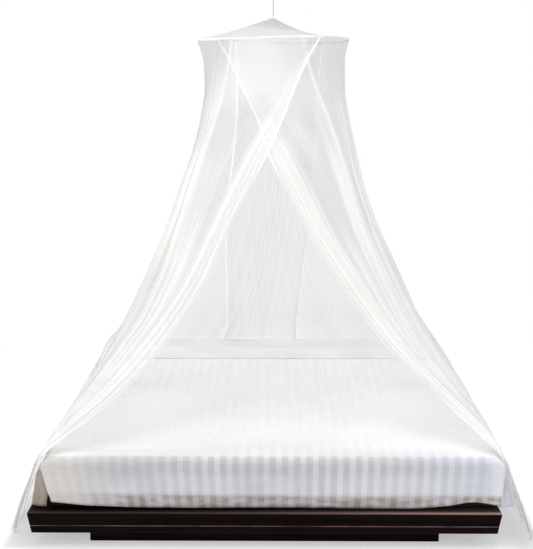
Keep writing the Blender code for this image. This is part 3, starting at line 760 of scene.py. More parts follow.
def floor_finish():
    """A pale floor that takes the object's shadow and turns into the white background away from it, with a
    painted shadow of the net on it beside the bed.
    """
    finish = Finish("pale_floor", roughness=0.9, specular=0.0)
    place = finish.object_place()
    distance = finish.node("ShaderNodeVectorMath", operation="LENGTH")
    finish.join(place, distance.inputs[0])
    away = finish.ramp(distance.outputs["Value"], FLOOR_LIT, FLOOR_WHITE)
    near = finish.mix(finish.noise(place, 3.0), gray(0.57), gray(0.59))
    x, y, _ = finish.split(place)
    from_middle = finish.math("ABSOLUTE", x)
    # painted shadow of the net beside the bed, in the floor's colour and in its glow
    painted_net_shadow = finish.times(
        finish.ramp(from_middle, 1.15, 1.20, 1.0, 0.0),
        finish.ramp(y, -1.06, -1.01),
        finish.ramp(y, 1.05, 1.15, 1.0, 0.0),
        finish.ramp(from_middle, 0.98, 1.10),
    )
    near = finish.mix(painted_net_shadow, near, gray(0.42))
    glow = finish.mix(painted_net_shadow, gray(0.44), gray(0.33))
    finish.feed("Base Color", finish.mix(away, near, gray(0.0)))
    finish.shine(finish.mix(away, glow, gray(1.0)), 1.0)
    return finish.material


NETTING = netting_finish("sheer_netting", gray(0.53), gray(0.67), gray(0.89), cover=0.40, glow=0.20)
# painted shade: the roof's netting is given greys, darkest where it is gathered
ROOF_NETTING = netting_finish("roof_netting", gray(0.56), gray(0.42), gray(0.50), cover=0.75, glow=0.02)
TAPE_WHITE = (0.97, 0.97, 0.965)
TAPE = tape_finish("white_tape", TAPE_WHITE, 0.44, (0.77, 0.765, 0.75), 1.78, greyest_near_floor=True)
REAR_TAPE = tape_finish("rear_tape", TAPE_WHITE, 0.46, (0.95, 0.95, 0.94), 1.50)
CASING_TAPE = casing_finish()
# painted shade: the roof seam's tape is grey like the roof
SEAM_TAPE = tape_finish("roof_seam_tape", gray(0.52), 0.05)
STRIPED = striped_finish()
SHEET_LINEN = linen_finish("sheet_cotton", (0.86, 0.86, 0.865), (0.80, 0.80, 0.81))
MATTRESS_LINEN = linen_finish("mattress_sheet_cotton", (0.84, 0.84, 0.85), (0.78, 0.78, 0.79), MATTRESS_SHADE_TOP)
WOOD = wood_finish()
ROD = rod_finish()
STEEL = steel_finish()
CORD = cord_finish()

# ---------------------------------------------------------------- the cord

CORD_LOW, CORD_HIGH = (corner.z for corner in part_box("hanging_cord"))
CORD_DIAMETER = 0.0032
CORD_STEPS = 24


def build_cord():
    """The taut cord from the ring up to the ceiling hook, in one straight line."""
    curve = bpy.data.curves.new("hanging_cord_braid", "CURVE")
    curve.dimensions = "3D"
    curve.bevel_depth = CORD_DIAMETER / 2
    curve.bevel_resolution = 4
    curve.use_fill_caps = True
    spline = curve.splines.new("POLY")
    spline.points.add(CORD_STEPS)
    for k, point in enumerate(spline.points):
        point.co = (0.0, 0.0, CORD_LOW + (CORD_HIGH - CORD_LOW) * k / CORD_STEPS, 1.0)
    cord = link_object("hanging_cord_braid", curve, CORD)
    hand_over(cord, "hanging_cord")


build_cord()

# ---------------------------------------------------------------- the two curtains

CURTAIN_COLUMNS = 620
# Downward, the heights that each stretch of a curtain goes from and to, and how many rows it has.
CURTAIN_LEVELS = ((TOP_LEVEL, 1.60, 38), (1.60, 0.62, 50), (0.62, 0.34, 30), (0.34, HEM_LEVEL, 32))
FINE_PLEATS = 27
FINE_STEEPNESS = 0.36        # how steep the flanks of the fine pleats are, under 0.5
FINE_FULLNESS = 0.30         # depth over width of a fine pleat that stands full
FINE_FADED = 0.45            # the least that is left of a fine pleat's depth where it fades
FINE_LIMIT = 0.42            # the most that a fine pleat is deep, for its width,
FINE_LIMIT_LOSS = 0.16       # and how much less high up
FINE_SWAY = 0.5              # how far the crest of a fine pleat wanders on its way down
LAPPED_FLATTENING = 0.5      # how much shallower the fine pleats are where the curtains overlap
CLOTH_WIDTH_TOP = 1.70
CLOTH_WIDTH_HEM = 3.90
CURTAIN_LENGTH = 2.60
TAPE_WIDTH = 0.0100
TAPE_OVERLAP = 0.0018        # how far it lies over the edge of the net
TAPE_THICKNESS = 0.0016
TAPE_RIPPLE = 0.0016
TAPE_SIDES = 10

# How many layers' worth of cloth the gathered net shows across a curtain, from its front edge to its rear
# one, and how light it is painted, as painted light and shade: close under the hoop (high), where the
# curtains cross (mid) and below (low).
Gather = namedtuple("Gather", "share layers_mid layers_low light_high light_mid light_low")
LEFT_GATHERS = table(
    Gather,
    (0.000, 4.2, 2.8, 0.78, 1.05, 0.70),
    (0.030, 4.4, 2.8, 0.78, 1.05, 0.70),
    (0.060, 5.0, 4.6, 0.78, 1.05, 0.28),
    (0.105, 4.6, 4.4, 0.80, 0.90, 0.25),
    (0.145, 4.0, 3.2, 0.90, 0.70, 0.40),
    (0.170, 1.8, 1.9, 1.20, 0.66, 0.38),
    (0.205, 1.1, 1.45, 1.20, 0.36, 0.34),
    (0.235, 0.9, 1.5, 1.00, 0.40, 0.35),
    (0.254, 3.2, 3.5, 0.40, 0.32, 0.55),
    (0.300, 2.4, 2.8, 0.15, 0.36, 0.60),
    (0.380, 1.7, 2.0, 0.00, 0.35, 0.45),
    (0.500, 1.5, 1.7, 0.00, 0.30, 0.35),
    (0.600, 1.1, 1.1, 0.10, 0.20, 0.30),
    (0.700, 0.85, 1.25, 0.60, 0.45, 0.55),
    (0.900, 0.80, 1.30, 0.90, 0.65, 0.42),
    (1.000, 1.0, 1.10, 0.90, 0.75, 0.75),
)
RIGHT_GATHERS = table(
    Gather,
    (0.000, 4.2, 3.2, 0.78, 1.00, 0.55),
    (0.035, 4.2, 3.2, 0.78, 1.00, 0.52),
    (0.070, 4.6, 4.6, 0.78, 1.00, 0.30),
    (0.115, 4.4, 4.4, 0.85, 0.90, 0.25),
    (0.143, 4.0, 3.2, 0.90, 0.70, 0.30),
    (0.165, 1.9, 2.2, 1.15, 0.58, 0.12),
    (0.188, 1.4, 1.4, 1.15, 0.64, 0.10),
    (0.208, 1.4, 1.5, 1.00, 0.52, 0.15),
    (0.225, 2.1, 3.0, 0.30, 0.05, 0.35),
    (0.250, 2.5, 3.1, 0.10, 0.10, 0.25),
    (0.262, 1.5, 1.6, 0.00, 0.00, 0.15),
    (0.290, 1.5, 1.5, 0.00, 0.25, 0.36),
    (0.330, 1.8, 2.2, 0.00, 0.42, 0.48),
    (0.500, 1.5, 1.8, 0.00, 0.48, 0.50),
    (0.600, 1.1, 1.1, 0.10, 0.40, 0.48),
    (0.700, 0.85, 1.25, 0.60, 0.45, 0.55),
    (0.900, 0.80, 1.30, 0.90, 0.65, 0.42),
    (1.000, 1.0, 1.10, 0.90, 0.75, 0.75),
)
FOLD_LINE_SHARE = 0.252      # a crisp fold from the hoop down, beside the wide folds
FOLD_LINE_WIDTH = 0.0032
FOLD_LINE_LAYERS = 1.8
# painted light along that fold
FOLD_LINE_LIGHT = 0.5
LAPPED_SHARE = 0.875         # from here on a curtain overlaps the other one, and is spread wider
LAPPED_LEAN = 0.07           # how much earlier that starts high up
LAPPED_THINNING = 0.48
LOWER_SIDE_SHADE = 0.62      # painted shade: how much duller the sides are in their lower half, which leans to the light
# painted shade: duller in the lower half everywhere, at the sides, and near the bed
LOWER_SHADE = 0.18
SIDE_SHADE = 0.07
NEAR_BED_SHADE = 0.30
GAP_CLOSING = 0.8            # how far the gap between the wide folds closes, nearer to the bed
CLOSED_LAYERS = 2.9
# painted light where that gap closes
CLOSED_LIGHT = 0.55
CORNER_LAYERS = 1.4          # the net is denser close under the hoop, at its sides,
CORNER_SHADE = 0.45          # and darker, as painted shade
SPREAD_OUT = 0.60            # how much thinner the net is spread beside the bed,
BAND_SPREAD_OUT = 0.22       # and how much more so in the dense band
HEM_LAYERS = 1.2             # what the turned hem adds
PACKING = 0.9                # how far the narrowing by the fine pleats shows as more layers,
CALM_PACKING_LOSS = 0.7      # and how much less so in the calm folds
CROWDED_PACKING_LOSS = 0.5   # and in the upper net
CALM_STREAKS_LOSS = 0.9      # how much weaker the streaks are in the calm folds, in the upper side folds,
CROWDED_STREAKS_LOSS = 0.65
BAND_STREAKS_LOSS = 0.5      # high in the dense band,
REAR_STREAKS_LOSS = 0.5      # and at the rear
STREAK_WIDTH = 2.6           # width of cloth that the streaks are laid out on

# Between which heights each change of the net's look goes from none to full.
BELOW_HOOP = (1.98, 1.80)
UNDER_HOOP = (1.95, 2.13)
GATHERS_START = (2.18, 1.88)
BAND_STARTS = (2.165, 2.04)
BELOW_CROSSING = (1.74, 1.54)
LOWER_HALF = (1.45, 1.00)
GAP_CLOSES = (1.45, 1.08)
NEAR_BED = (0.75, 0.45)
BESIDE_BED = (0.42, 0.15)
SPREADS_OUT = (0.40, 0.32)
TURNED_HEM = (0.04, 0.0)
LAPS_LEAN = (0.4, 1.2)
LAPS_START = (1.9, 1.5)
FOLD_LINE_SHARPENS = (1.4, 1.8)
BAND_CALMS = (1.45, 1.65)
FOLDS_CALM = (1.72, 1.90)
CROWDED = (1.50, 1.90)       # the gathers of the upper net stand closer than their pleats show

# The spans of a curtain's width, from its front edge, where the stretches of it start and end.
BAND_THINS = (0.02, 0.15)
BAND_STAYS = (0.16, 0.10)
FRONT_FOLDS = ((0.12, 0.18), (0.60, 0.45))
CALM_FOLDS = ((0.13, 0.16), (0.28, 0.22))    # the smooth folds next to the dense band
SIDE_FOLDS = ((0.15, 0.34), (0.80, 0.62))
CORNER_FOLDS = ((0.27, 0.33), (0.72, 0.55))
STREAKED_FOLDS = ((0.27, 0.34), (0.72, 0.55))
REAR_FOLDS = (0.6, 0.8)

# How deep the fine pleats are at each height, on the whole.
Depth = namedtuple("Depth", "height depth")
FINE_DEPTHS = table(
    Depth,
    (2.1726, 0.0004), (2.05, 0.002), (1.80, 0.0045), (1.50, 0.009), (0.80, 0.013),
    (0.42, 0.008), (0.30, 0.010), (0.0, 0.018),
)


def hoop_warp(angle):
    return HOOP_WARP * np.sin(2.0 * angle)


def along_cut(outward):
    """The direction along a level cut, from the outward one."""
    return np.stack([-outward[..., 1], outward[..., 0], np.zeros_like(outward[..., 0])], axis=-1)


def net_place(height, angle):
    """Points of the level cuts at angles (radians, to the right of the foot), and the outward directions."""
    side, front = np.sin(angle), -np.cos(angle)
    left, right, near, rear, power = (
        read_table(SECTIONS, column, height) for column in ("left", "right", "front", "rear", "squareness")
    )
    width = left + (right - left) * (0.5 + 0.5 * side)
    length = rear + (near - rear) * (0.5 - 0.5 * front)
    across, along = np.abs(side) / width, np.abs(front) / length
    radius = (across**power + along**power) ** (-1.0 / power)
    out_x = np.copysign((across * radius) ** (power - 1.0) / width, side)
    out_y = np.copysign((along * radius) ** (power - 1.0) / length, front)
    size = np.hypot(out_x, out_y)
    outward = np.stack([out_x / size, out_y / size, np.zeros_like(size)], axis=-1)
    return np.stack([side * radius, front * radius, height + np.zeros_like(radius)], axis=-1), outward


def pleat_wave(pleats, share):
    wave, start = np.zeros_like(share), 0.0
    for pleat in pleats:
        inside = (share > start) & (share <= start + pleat.share)
        crest = pleat.depth * 0.5 * (1.0 - np.cos(math.tau * (share - start) / pleat.share))
        wave = np.where(inside, crest, wave)
        start += pleat.share
    return wave


def level_heights():
    parts = [np.linspace(high, low, count, endpoint=False) for high, low, count in CURTAIN_LEVELS]
    return np.concatenate([*parts, [HEM_LEVEL]])


class Curtain:
    """One net panel: hand is -1 for the left one and +1 for the right one; the left one hangs outside."""

    def __init__(self, side, hand, lines, pleats, gathers, seed):
        self.side, self.hand, self.lines, self.pleats, self.gathers = side, hand, lines, pleats, gathers
        self.seed = seed
        draw = np.random.default_rng(seed)
        widths = draw.uniform(0.35, 1.9, FINE_PLEATS)
        self.pleat_ends = np.concatenate([[0.0], np.cumsum(widths) / widths.sum()])
        self.pleat_depths = draw.uniform(0.35, 1.25, FINE_PLEATS)
        self.pleat_fades = draw.uniform(0.25, 1.9, FINE_PLEATS)

    def angles(self, share, height):
        """Where threads, given by their share of the width, cross the levels; both are 2-D arrays."""
        levels = height[:, 0]
        columns = [read_table(self.lines, name, levels) for name in ("edge", "band", "gap")]
        columns += [np.full_like(levels, SIDE_ANGLE), read_table(self.lines, "rear", levels)]
        values = np.stack(columns, axis=-1)
        rows = [monotone(LINE_PLACES, row, line) for row, line in zip(values, share)]
        return self.hand * np.radians(np.array(rows))

    def fine_pleats(self, share, height, place, overlap):
        """How far the fine pleats stand out, how far their flanks lean, and how narrow that makes them."""
        which = np.clip(np.searchsorted(self.pleat_ends, share, side="right") - 1, 0, FINE_PLEATS - 1)
        begin, end = self.pleat_ends[which], self.pleat_ends[which + 1]
        phase = math.tau * (share - begin) / (end - begin)
        step = np.linalg.norm(np.gradient(place, axis=1), axis=-1) / np.gradient(share, axis=1)
        wave_length = step * (end - begin)
        fade = smooth_step(-0.15, 0.30, np.abs(height - self.pleat_fades[which]))
        depth = read_table(FINE_DEPTHS, "depth", height) * self.pleat_depths[which]
        depth = depth * (FINE_FADED + (1.0 - FINE_FADED) * fade)
        limit = FINE_LIMIT - FINE_LIMIT_LOSS * smooth_step(1.3, 1.7, height)
        depth = np.minimum(depth, limit * wave_length) * (1.0 - LAPPED_FLATTENING * overlap)
        sway = FINE_SWAY * wander(height + 3.0 * share, 0.55, self.seed + 5)
        crest = 0.5 - 0.5 * np.cos(phase + sway * np.sin(phase * 0.5) ** 2)
        fullness = np.minimum(depth / (FINE_FULLNESS * wave_length), 1.0) * FINE_STEEPNESS
        lean = self.hand * fullness * wave_length / math.tau * np.sin(2.0 * phase)
        return depth, crest, lean, 1.0 + 2.0 * fullness * np.cos(2.0 * phase)

    def points(self, share, height, fine=True):
        """The hung surface, and how much narrower than flat the fine pleats make the cloth there."""
        angle = self.angles(share, height)
        place, outward = net_place(height, angle)
        fold_depth, lap = (read_table(SECTIONS, column, height) for column in ("fold_depth", "lap"))
        inward = smooth_step(0.42, 1.30, height)
        swell = fold_depth * (pleat_wave(self.pleats, share) - 0.5 * inward)
        overlap = 1.0 - smooth_step(0.62, 0.96, np.abs(np.sin(angle)))
        if self.hand < 0:
            swell = swell + lap * overlap
        narrowing = np.ones_like(share)
        if fine:
            depth, crest, lean, narrowing = self.fine_pleats(share, height, place, overlap)
            swell = swell + depth * (crest - inward)
            place = place + along_cut(outward) * lean[..., None]
        place = place + outward * swell[..., None]
        place[..., 2] += hoop_warp(angle) * smooth_step(1.6, HOOP_HEIGHT, height)
        return place, narrowing

    def cloth_masks(self, share, height, narrowing):
        """How gathered, how light it is painted (painted light and shade) and how streaky the net is at its
        points.
        """
        shares = [gather.share for gather in self.gathers]
        layers_mid, layers_low, light_high, light_mid, light_low = (
            monotone(shares, [getattr(gather, column) for gather in self.gathers], share)
            for column in Gather._fields[1:]
        )
        low = smooth_step(*BELOW_CROSSING, height)
        crowded = smooth_step(*CROWDED, height)
        in_band = 1.0 - smooth_step(*BAND_THINS, share)
        at_side = stretch_mask(SIDE_FOLDS, share)
        closing = GAP_CLOSING * smooth_step(*GAP_CLOSES, height) * stretch_mask(FRONT_FOLDS, share)
        corner = smooth_step(*UNDER_HOOP, height) * stretch_mask(CORNER_FOLDS, share)
        calm = smooth_step(*FOLDS_CALM, height) * stretch_mask(CALM_FOLDS, share)
        fold_line = np.exp(-(((share - FOLD_LINE_SHARE) / FOLD_LINE_WIDTH) ** 2))
        fold_line = fold_line * smooth_step(*FOLD_LINE_SHARPENS, height)

        # painted light and shade: how light the net is painted at each height and across it
        light_here = light_mid + (light_low - light_mid) * low
        light_here = light_here + (CLOSED_LIGHT - light_here) * closing - smooth_step(*BESIDE_BED, height)
        lower_shade = LOWER_SIDE_SHADE * at_side + LOWER_SHADE
        light_here = light_here - lower_shade * smooth_step(*LOWER_HALF, height)
        light_here = light_here - SIDE_SHADE * at_side - NEAR_BED_SHADE * smooth_step(*NEAR_BED, height)
        painted_lightness = light_high + (light_here - light_high) * smooth_step(*BELOW_HOOP, height)
        painted_lightness = painted_lightness + FOLD_LINE_LIGHT * fold_line - CORNER_SHADE * corner

        layers = layers_mid + (layers_low - layers_mid) * low
        layers = layers + (CLOSED_LAYERS - layers) * closing
        band_started = in_band * smooth_step(*BAND_STARTS, height)
        started = np.maximum(smooth_step(*GATHERS_START, height), band_started)
        gather = 1.0 + (layers - 1.0) * started + CORNER_LAYERS * corner
        packing = PACKING - CALM_PACKING_LOSS * calm - CROWDED_PACKING_LOSS * crowded * (1.0 - calm)
        gather = gather / np.clip(narrowing, 0.30, 2.2) ** packing + FOLD_LINE_LAYERS * fold_line
        spread_out = SPREAD_OUT + BAND_SPREAD_OUT * smooth_step(*BAND_STAYS, share)
        hem = 1.0 + HEM_LAYERS * smooth_step(*TURNED_HEM, height)
        lap_start = LAPPED_SHARE - LAPPED_LEAN * smooth_step(*LAPS_LEAN, height)
        lapped = smooth_step(lap_start - 0.01, lap_start + 0.03, share) * smooth_step(*LAPS_START, height)
        gather = gather * (1.0 - spread_out * smooth_step(*SPREADS_OUT, height)) * hem
        gather = gather * (1.0 - LAPPED_THINNING * lapped)

        crowded_side = crowded * stretch_mask(STREAKED_FOLDS, share)
        streaks = 1.0 - CALM_STREAKS_LOSS * calm - CROWDED_STREAKS_LOSS * crowded_side
        streaks = streaks - BAND_STREAKS_LOSS * in_band * smooth_step(*BAND_CALMS, height)
        streaks = streaks - REAR_STREAKS_LOSS * smooth_step(*REAR_FOLDS, share)
        thread = share * STREAK_WIDTH + 10.0 * self.hand
        return {"gather": gather, "painted_lightness": painted_lightness, "streaks": streaks, "thread": thread}

    def build_panel(self):
        share, height = np.meshgrid(np.linspace(0.0, 1.0, CURTAIN_COLUMNS), level_heights())
        points, narrowing = self.points(share, height)
        points[..., 2] = np.maximum(points[..., 2], HEM_LEVEL)
        width = CLOTH_WIDTH_TOP + (CLOTH_WIDTH_HEM - CLOTH_WIDTH_TOP) * (1.0 - height / TOP_LEVEL)
        uv = np.stack([(share - 0.5) * width, height * CURTAIN_LENGTH / TOP_LEVEL], axis=-1)
        masks = self.cloth_masks(share, height, narrowing)
        panel = add_sheet(f"net_curtain_{self.side}", points, uv, NETTING, masks, flip=self.hand > 0)
        hand_over(panel, f"curtain_{self.side}")

    def build_tape(self, place, share, outside, finish):
        """The tape folded over one edge: a flat tube that runs down it from the hoop to the hem."""
        heights = level_heights()[::2]
        around = np.linspace(0.0, math.tau, TAPE_SIDES + 1)
        share_grid, height = np.meshgrid(np.full(3, share), heights)
        middle = self.points(share_grid, height, fine=False)[0][:, 1]
        outward = net_place(heights, self.angles(share_grid, height)[:, 1])[1]
        along = along_cut(outward)
        middle = middle + along * outside * (TAPE_WIDTH / 2 - TAPE_OVERLAP)
        middle = middle + outward * TAPE_RIPPLE * wander(heights, 0.10, self.seed + 11)[:, None]
        flat = np.cos(around)[None, :, None] * along[:, None, :] * TAPE_WIDTH / 2
        thick = np.sin(around)[None, :, None] * outward[:, None, :] * TAPE_THICKNESS / 2
        points = middle[:, None, :] + flat + thick
        points[..., 2] = np.maximum(points[..., 2], HEM_LEVEL)
        run = run_along(middle)
        uv = np.stack(np.meshgrid(around / math.tau * 2.0 * TAPE_WIDTH, run), axis=-1)
        tape = add_sheet(f"{place}_tape_{self.side}", points, uv, finish, around=True, flip=True)
        hand_over(tape, f"{place}_binding_{self.side}")


def build_curtains():
    for curtain in (
        Curtain("left", -1, LEFT_LINES, LEFT_PLEATS, LEFT_GATHERS, 21),
        Curtain("right", 1, RIGHT_LINES, RIGHT_PLEATS, RIGHT_GATHERS, 34),
    ):
        curtain.build_panel()
        curtain.build_tape("front", 0.0, -curtain.hand, TAPE)
        curtain.build_tape("rear", 1.0, curtain.hand, REAR_TAPE)


# ---------------------------------------------------------------- hoop casing, roof and loop

CASING_STEPS = 360
CASING_SIDES = 12
CASING_PUCKER = 0.00035
CASING_PUCKERS = 150.0       # round the hoop
ROOF_RISE = 0.100
ROOF_HOLLOW = 1.38           # how hollow its slope is on the left
ROOF_SAG = 0.80              # how much more so it is on the right
ROOF_EYE_RADIUS = 0.0047
ROOF_FLUTES = 8
ROOF_FLUTE = 0.0022
ROOF_RIM = 0.0061
ROOF_RINGS = 90
ROOF_COLUMNS = 480
ROOF_CREASE = 0.0005
ROOF_CREASES = 37.0          # round the roof
ROOF_GATHER = 3.3            # layers that its gathers add in the eye
SEAM_ANGLE = 36.0            # degrees to the right of the foot
SEAM_WIDTH = 0.005
SEAM_THICKNESS = 0.0009


def hoop_points(radius, height, angle):
    return np.stack([radius * np.sin(angle), -radius * np.cos(angle), height + hoop_warp(angle)], axis=-1)


def build_casing():
    """The cloth channel round the rod, open towards the middle, a little puckered along its length."""
    turn = math.radians(360.0 - CASING_OPEN)
    angle, lean = np.meshgrid(
        np.linspace(0.0, math.tau, CASING_STEPS + 1), np.linspace(-turn / 2, turn / 2, CASING_SIDES + 1)
    )
    pucker = CASING_PUCKER * np.sin(CASING_PUCKERS * angle) * (0.6 + 0.4 * np.sin(7.0 * angle + 1.0))
    reach = CASING_REACH + pucker
    points = hoop_points(HOOP_RADIUS + reach * np.cos(lean), HOOP_HEIGHT + reach * np.sin(lean), angle)
    uv = np.stack([lean * CASING_REACH, angle * HOOP_RADIUS], axis=-1)
    casing = add_sheet("hoop_casing_cloth", points, uv, CASING_TAPE, around=True)
    hand_over(casing, "hoop_casing")


def roof_surface(share, across, raised=0.0):
    """Points of the roof, a share of the way up it, and how far its fine creases stand out there.

    It is a hollow cone with soft flutes and fine tension creases. across is a function of the radius that
    gives the angle, and raised lifts the points off the cloth.
    """
    radius = HOOP_RADIUS + (ROOF_EYE_RADIUS - HOOP_RADIUS) * share
    angle = across(radius)
    bow = np.sin(math.pi * share)
    creases = np.sin(ROOF_CREASES * angle + 1.3 * np.sin(3.0 * angle))
    creases = creases * (0.5 + 0.5 * np.sin(5.0 * angle + 2.0))
    hollow = ROOF_HOLLOW + ROOF_SAG * (0.5 + 0.5 * np.sin(angle)) ** 2
    height = HOOP_HEIGHT + ROOF_RIM + ROOF_RISE * (1.0 - radius / HOOP_RADIUS) ** hollow
    height = height + bow * (ROOF_FLUTE * np.cos(ROOF_FLUTES * angle) + ROOF_CREASE * creases)
    points = hoop_points(radius, height + raised, angle)
    points[..., 2] -= hoop_warp(angle) * share
    return points, creases * bow


def build_roof():
    """The net cone, gathered at its eye, where its greys of painted shade are darkest."""
    rings = np.linspace(0.0, 1.0, ROOF_RINGS + 1) ** 0.85
    share, angle = np.meshgrid(rings, np.linspace(0.0, math.tau, ROOF_COLUMNS + 1), indexing="ij")
    points, creases = roof_surface(share, lambda radius: angle)
    layers = 0.42 + 0.4 * share + ROOF_GATHER * smooth_step(0.60, 1.0, share)
    uv = np.stack([angle * HOOP_RADIUS, share * HOOP_RADIUS], axis=-1)
    masks = {
        "gather": layers * (1.0 + 0.10 * creases),
        "painted_lightness": np.zeros_like(share),
        "streaks": np.full_like(share, 0.35),
        "thread": angle * HOOP_RADIUS,
    }
    roof = add_sheet("net_roof", points, uv, ROOF_NETTING, masks, around=True, flip=True)
    hand_over(roof, "roof")


def build_roof_seam():
    """The felled seam of the roof: a narrow strip folded in half, from the hoop to the peak."""
    leans = np.radians(np.linspace(-168.0, 168.0, 11))
    lean, share = np.meshgrid(leans, np.linspace(0.01, 0.985, 70))
    points, _ = roof_surface(
        share,
        lambda radius: math.radians(SEAM_ANGLE) + 0.5 * SEAM_WIDTH * np.cos(lean) / radius,
        raised=SEAM_THICKNESS * (0.7 + 0.5 * np.sin(lean)),
    )
    run = run_along(points[:, 5])
    uv = np.stack([lean / math.pi * SEAM_WIDTH, np.repeat(run[:, None], len(leans), axis=1)], axis=-1)
    seam = add_sheet("roof_seam_strip", points, uv, SEAM_TAPE)
    hand_over(seam)


LOOP_LEG = 0.0021
LOOP_BOW = 0.0032
LOOP_THICKNESS = 0.0011


def build_loop():
    """The tape loop sewn into the eye of the roof; it follows the solid loop."""
    low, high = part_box("top_loop")
    turns = np.radians(np.linspace(-40.0, 220.0, 40))
    x = np.concatenate([[LOOP_LEG], LOOP_BOW * np.cos(turns), [-LOOP_LEG]])
    z = np.concatenate([[low.z], high.z - LOOP_BOW - 0.0006 + LOOP_BOW * np.sin(turns), [low.z]])
    across = np.linspace(low.y, high.y, 7)
    y_grid, x_grid = np.meshgrid(across, x)
    points = np.stack([x_grid, y_grid, np.repeat(z[:, None], len(across), axis=1)], axis=-1)
    uv = np.stack(np.meshgrid(across, run_along(np.stack([x, z], axis=-1))), axis=-1)
    loop = add_sheet("peak_loop_tape", points, uv, TAPE)
    thicken(loop, LOOP_THICKNESS)
    hand_over(loop, "top_loop")


# ---------------------------------------------------------------- the bed

BED_SIDE = 2.000
MATTRESS_TOP = 0.3975
SPREAD_TOP = 0.3997          # middle of the cloth on top
SPREAD_THICKNESS = 0.003
SPREAD_REAR = 0.5065
SPREAD_BEND = 0.045
SPREAD_REACH = BED_SIDE / 2 - SPREAD_THICKNESS / 2
SPREAD_FLAT = SPREAD_REACH - SPREAD_BEND
SPREAD_CORNER = SPREAD_FLAT + SPREAD_BEND * math.pi / 2      # where its bend ends, along the cloth
TOP_SWELL = 0.0012
TOP_SWELL_ACROSS = 0.0010
SIDE_DROP_LENGTH = 0.180
SIDE_FLARE = 0.054
SIDE_WAVE = 0.010
SIDE_WAVES = 9.0             # radians a metre, as for the creases
SIDE_CREASE = 0.006
SIDE_CREASES = 41.0
WRAP_RADIUS = 0.078          # the front end of each side drop turns round the mattress's corner
WRAP_TURN = 85.0             # degrees
WRAP_BEHIND = 0.009          # and lies that far behind the flap
FLAP_TAPER = (0.038, 0.012)  # how much the flap narrows towards its hem, on the left and on the right
FLAP_WAVE = 0.006
FLAP_WAVES = 7.0             # radians across the flap, as for the puckers
FLAP_PUCKER = 0.0012
FLAP_PUCKERS = 60.0
CREASE_LEVEL = 0.240         # the flap's crease, below which it turns in over the ledge
CREASE_SWAY = 0.006
CREASE_BULGE = 0.006
TUCK_DEPTH = 0.012
TUCK_LENGTH = 0.030

HemPoint = namedtuple("HemPoint", "place height")
FRONT_HEM = table(
    HemPoint,
    (0.00, 0.196), (0.10, 0.178), (0.28, 0.168), (0.55, 0.166),
    (0.78, 0.167), (0.88, 0.181), (0.94, 0.199), (1.00, 0.182),
)


def bend_over(distance):
    """Where cloth that runs flat and then bends down over an edge of the bed lies: outward, and downward."""
    turn = np.clip((distance - SPREAD_FLAT) / SPREAD_BEND, 0.0, math.pi / 2)
    hang = np.maximum(distance - SPREAD_CORNER, 0.0)
    out = np.where(distance <= SPREAD_FLAT, distance, SPREAD_FLAT + SPREAD_BEND * np.sin(turn))
    return out, SPREAD_BEND * (1.0 - np.cos(turn)) + hang


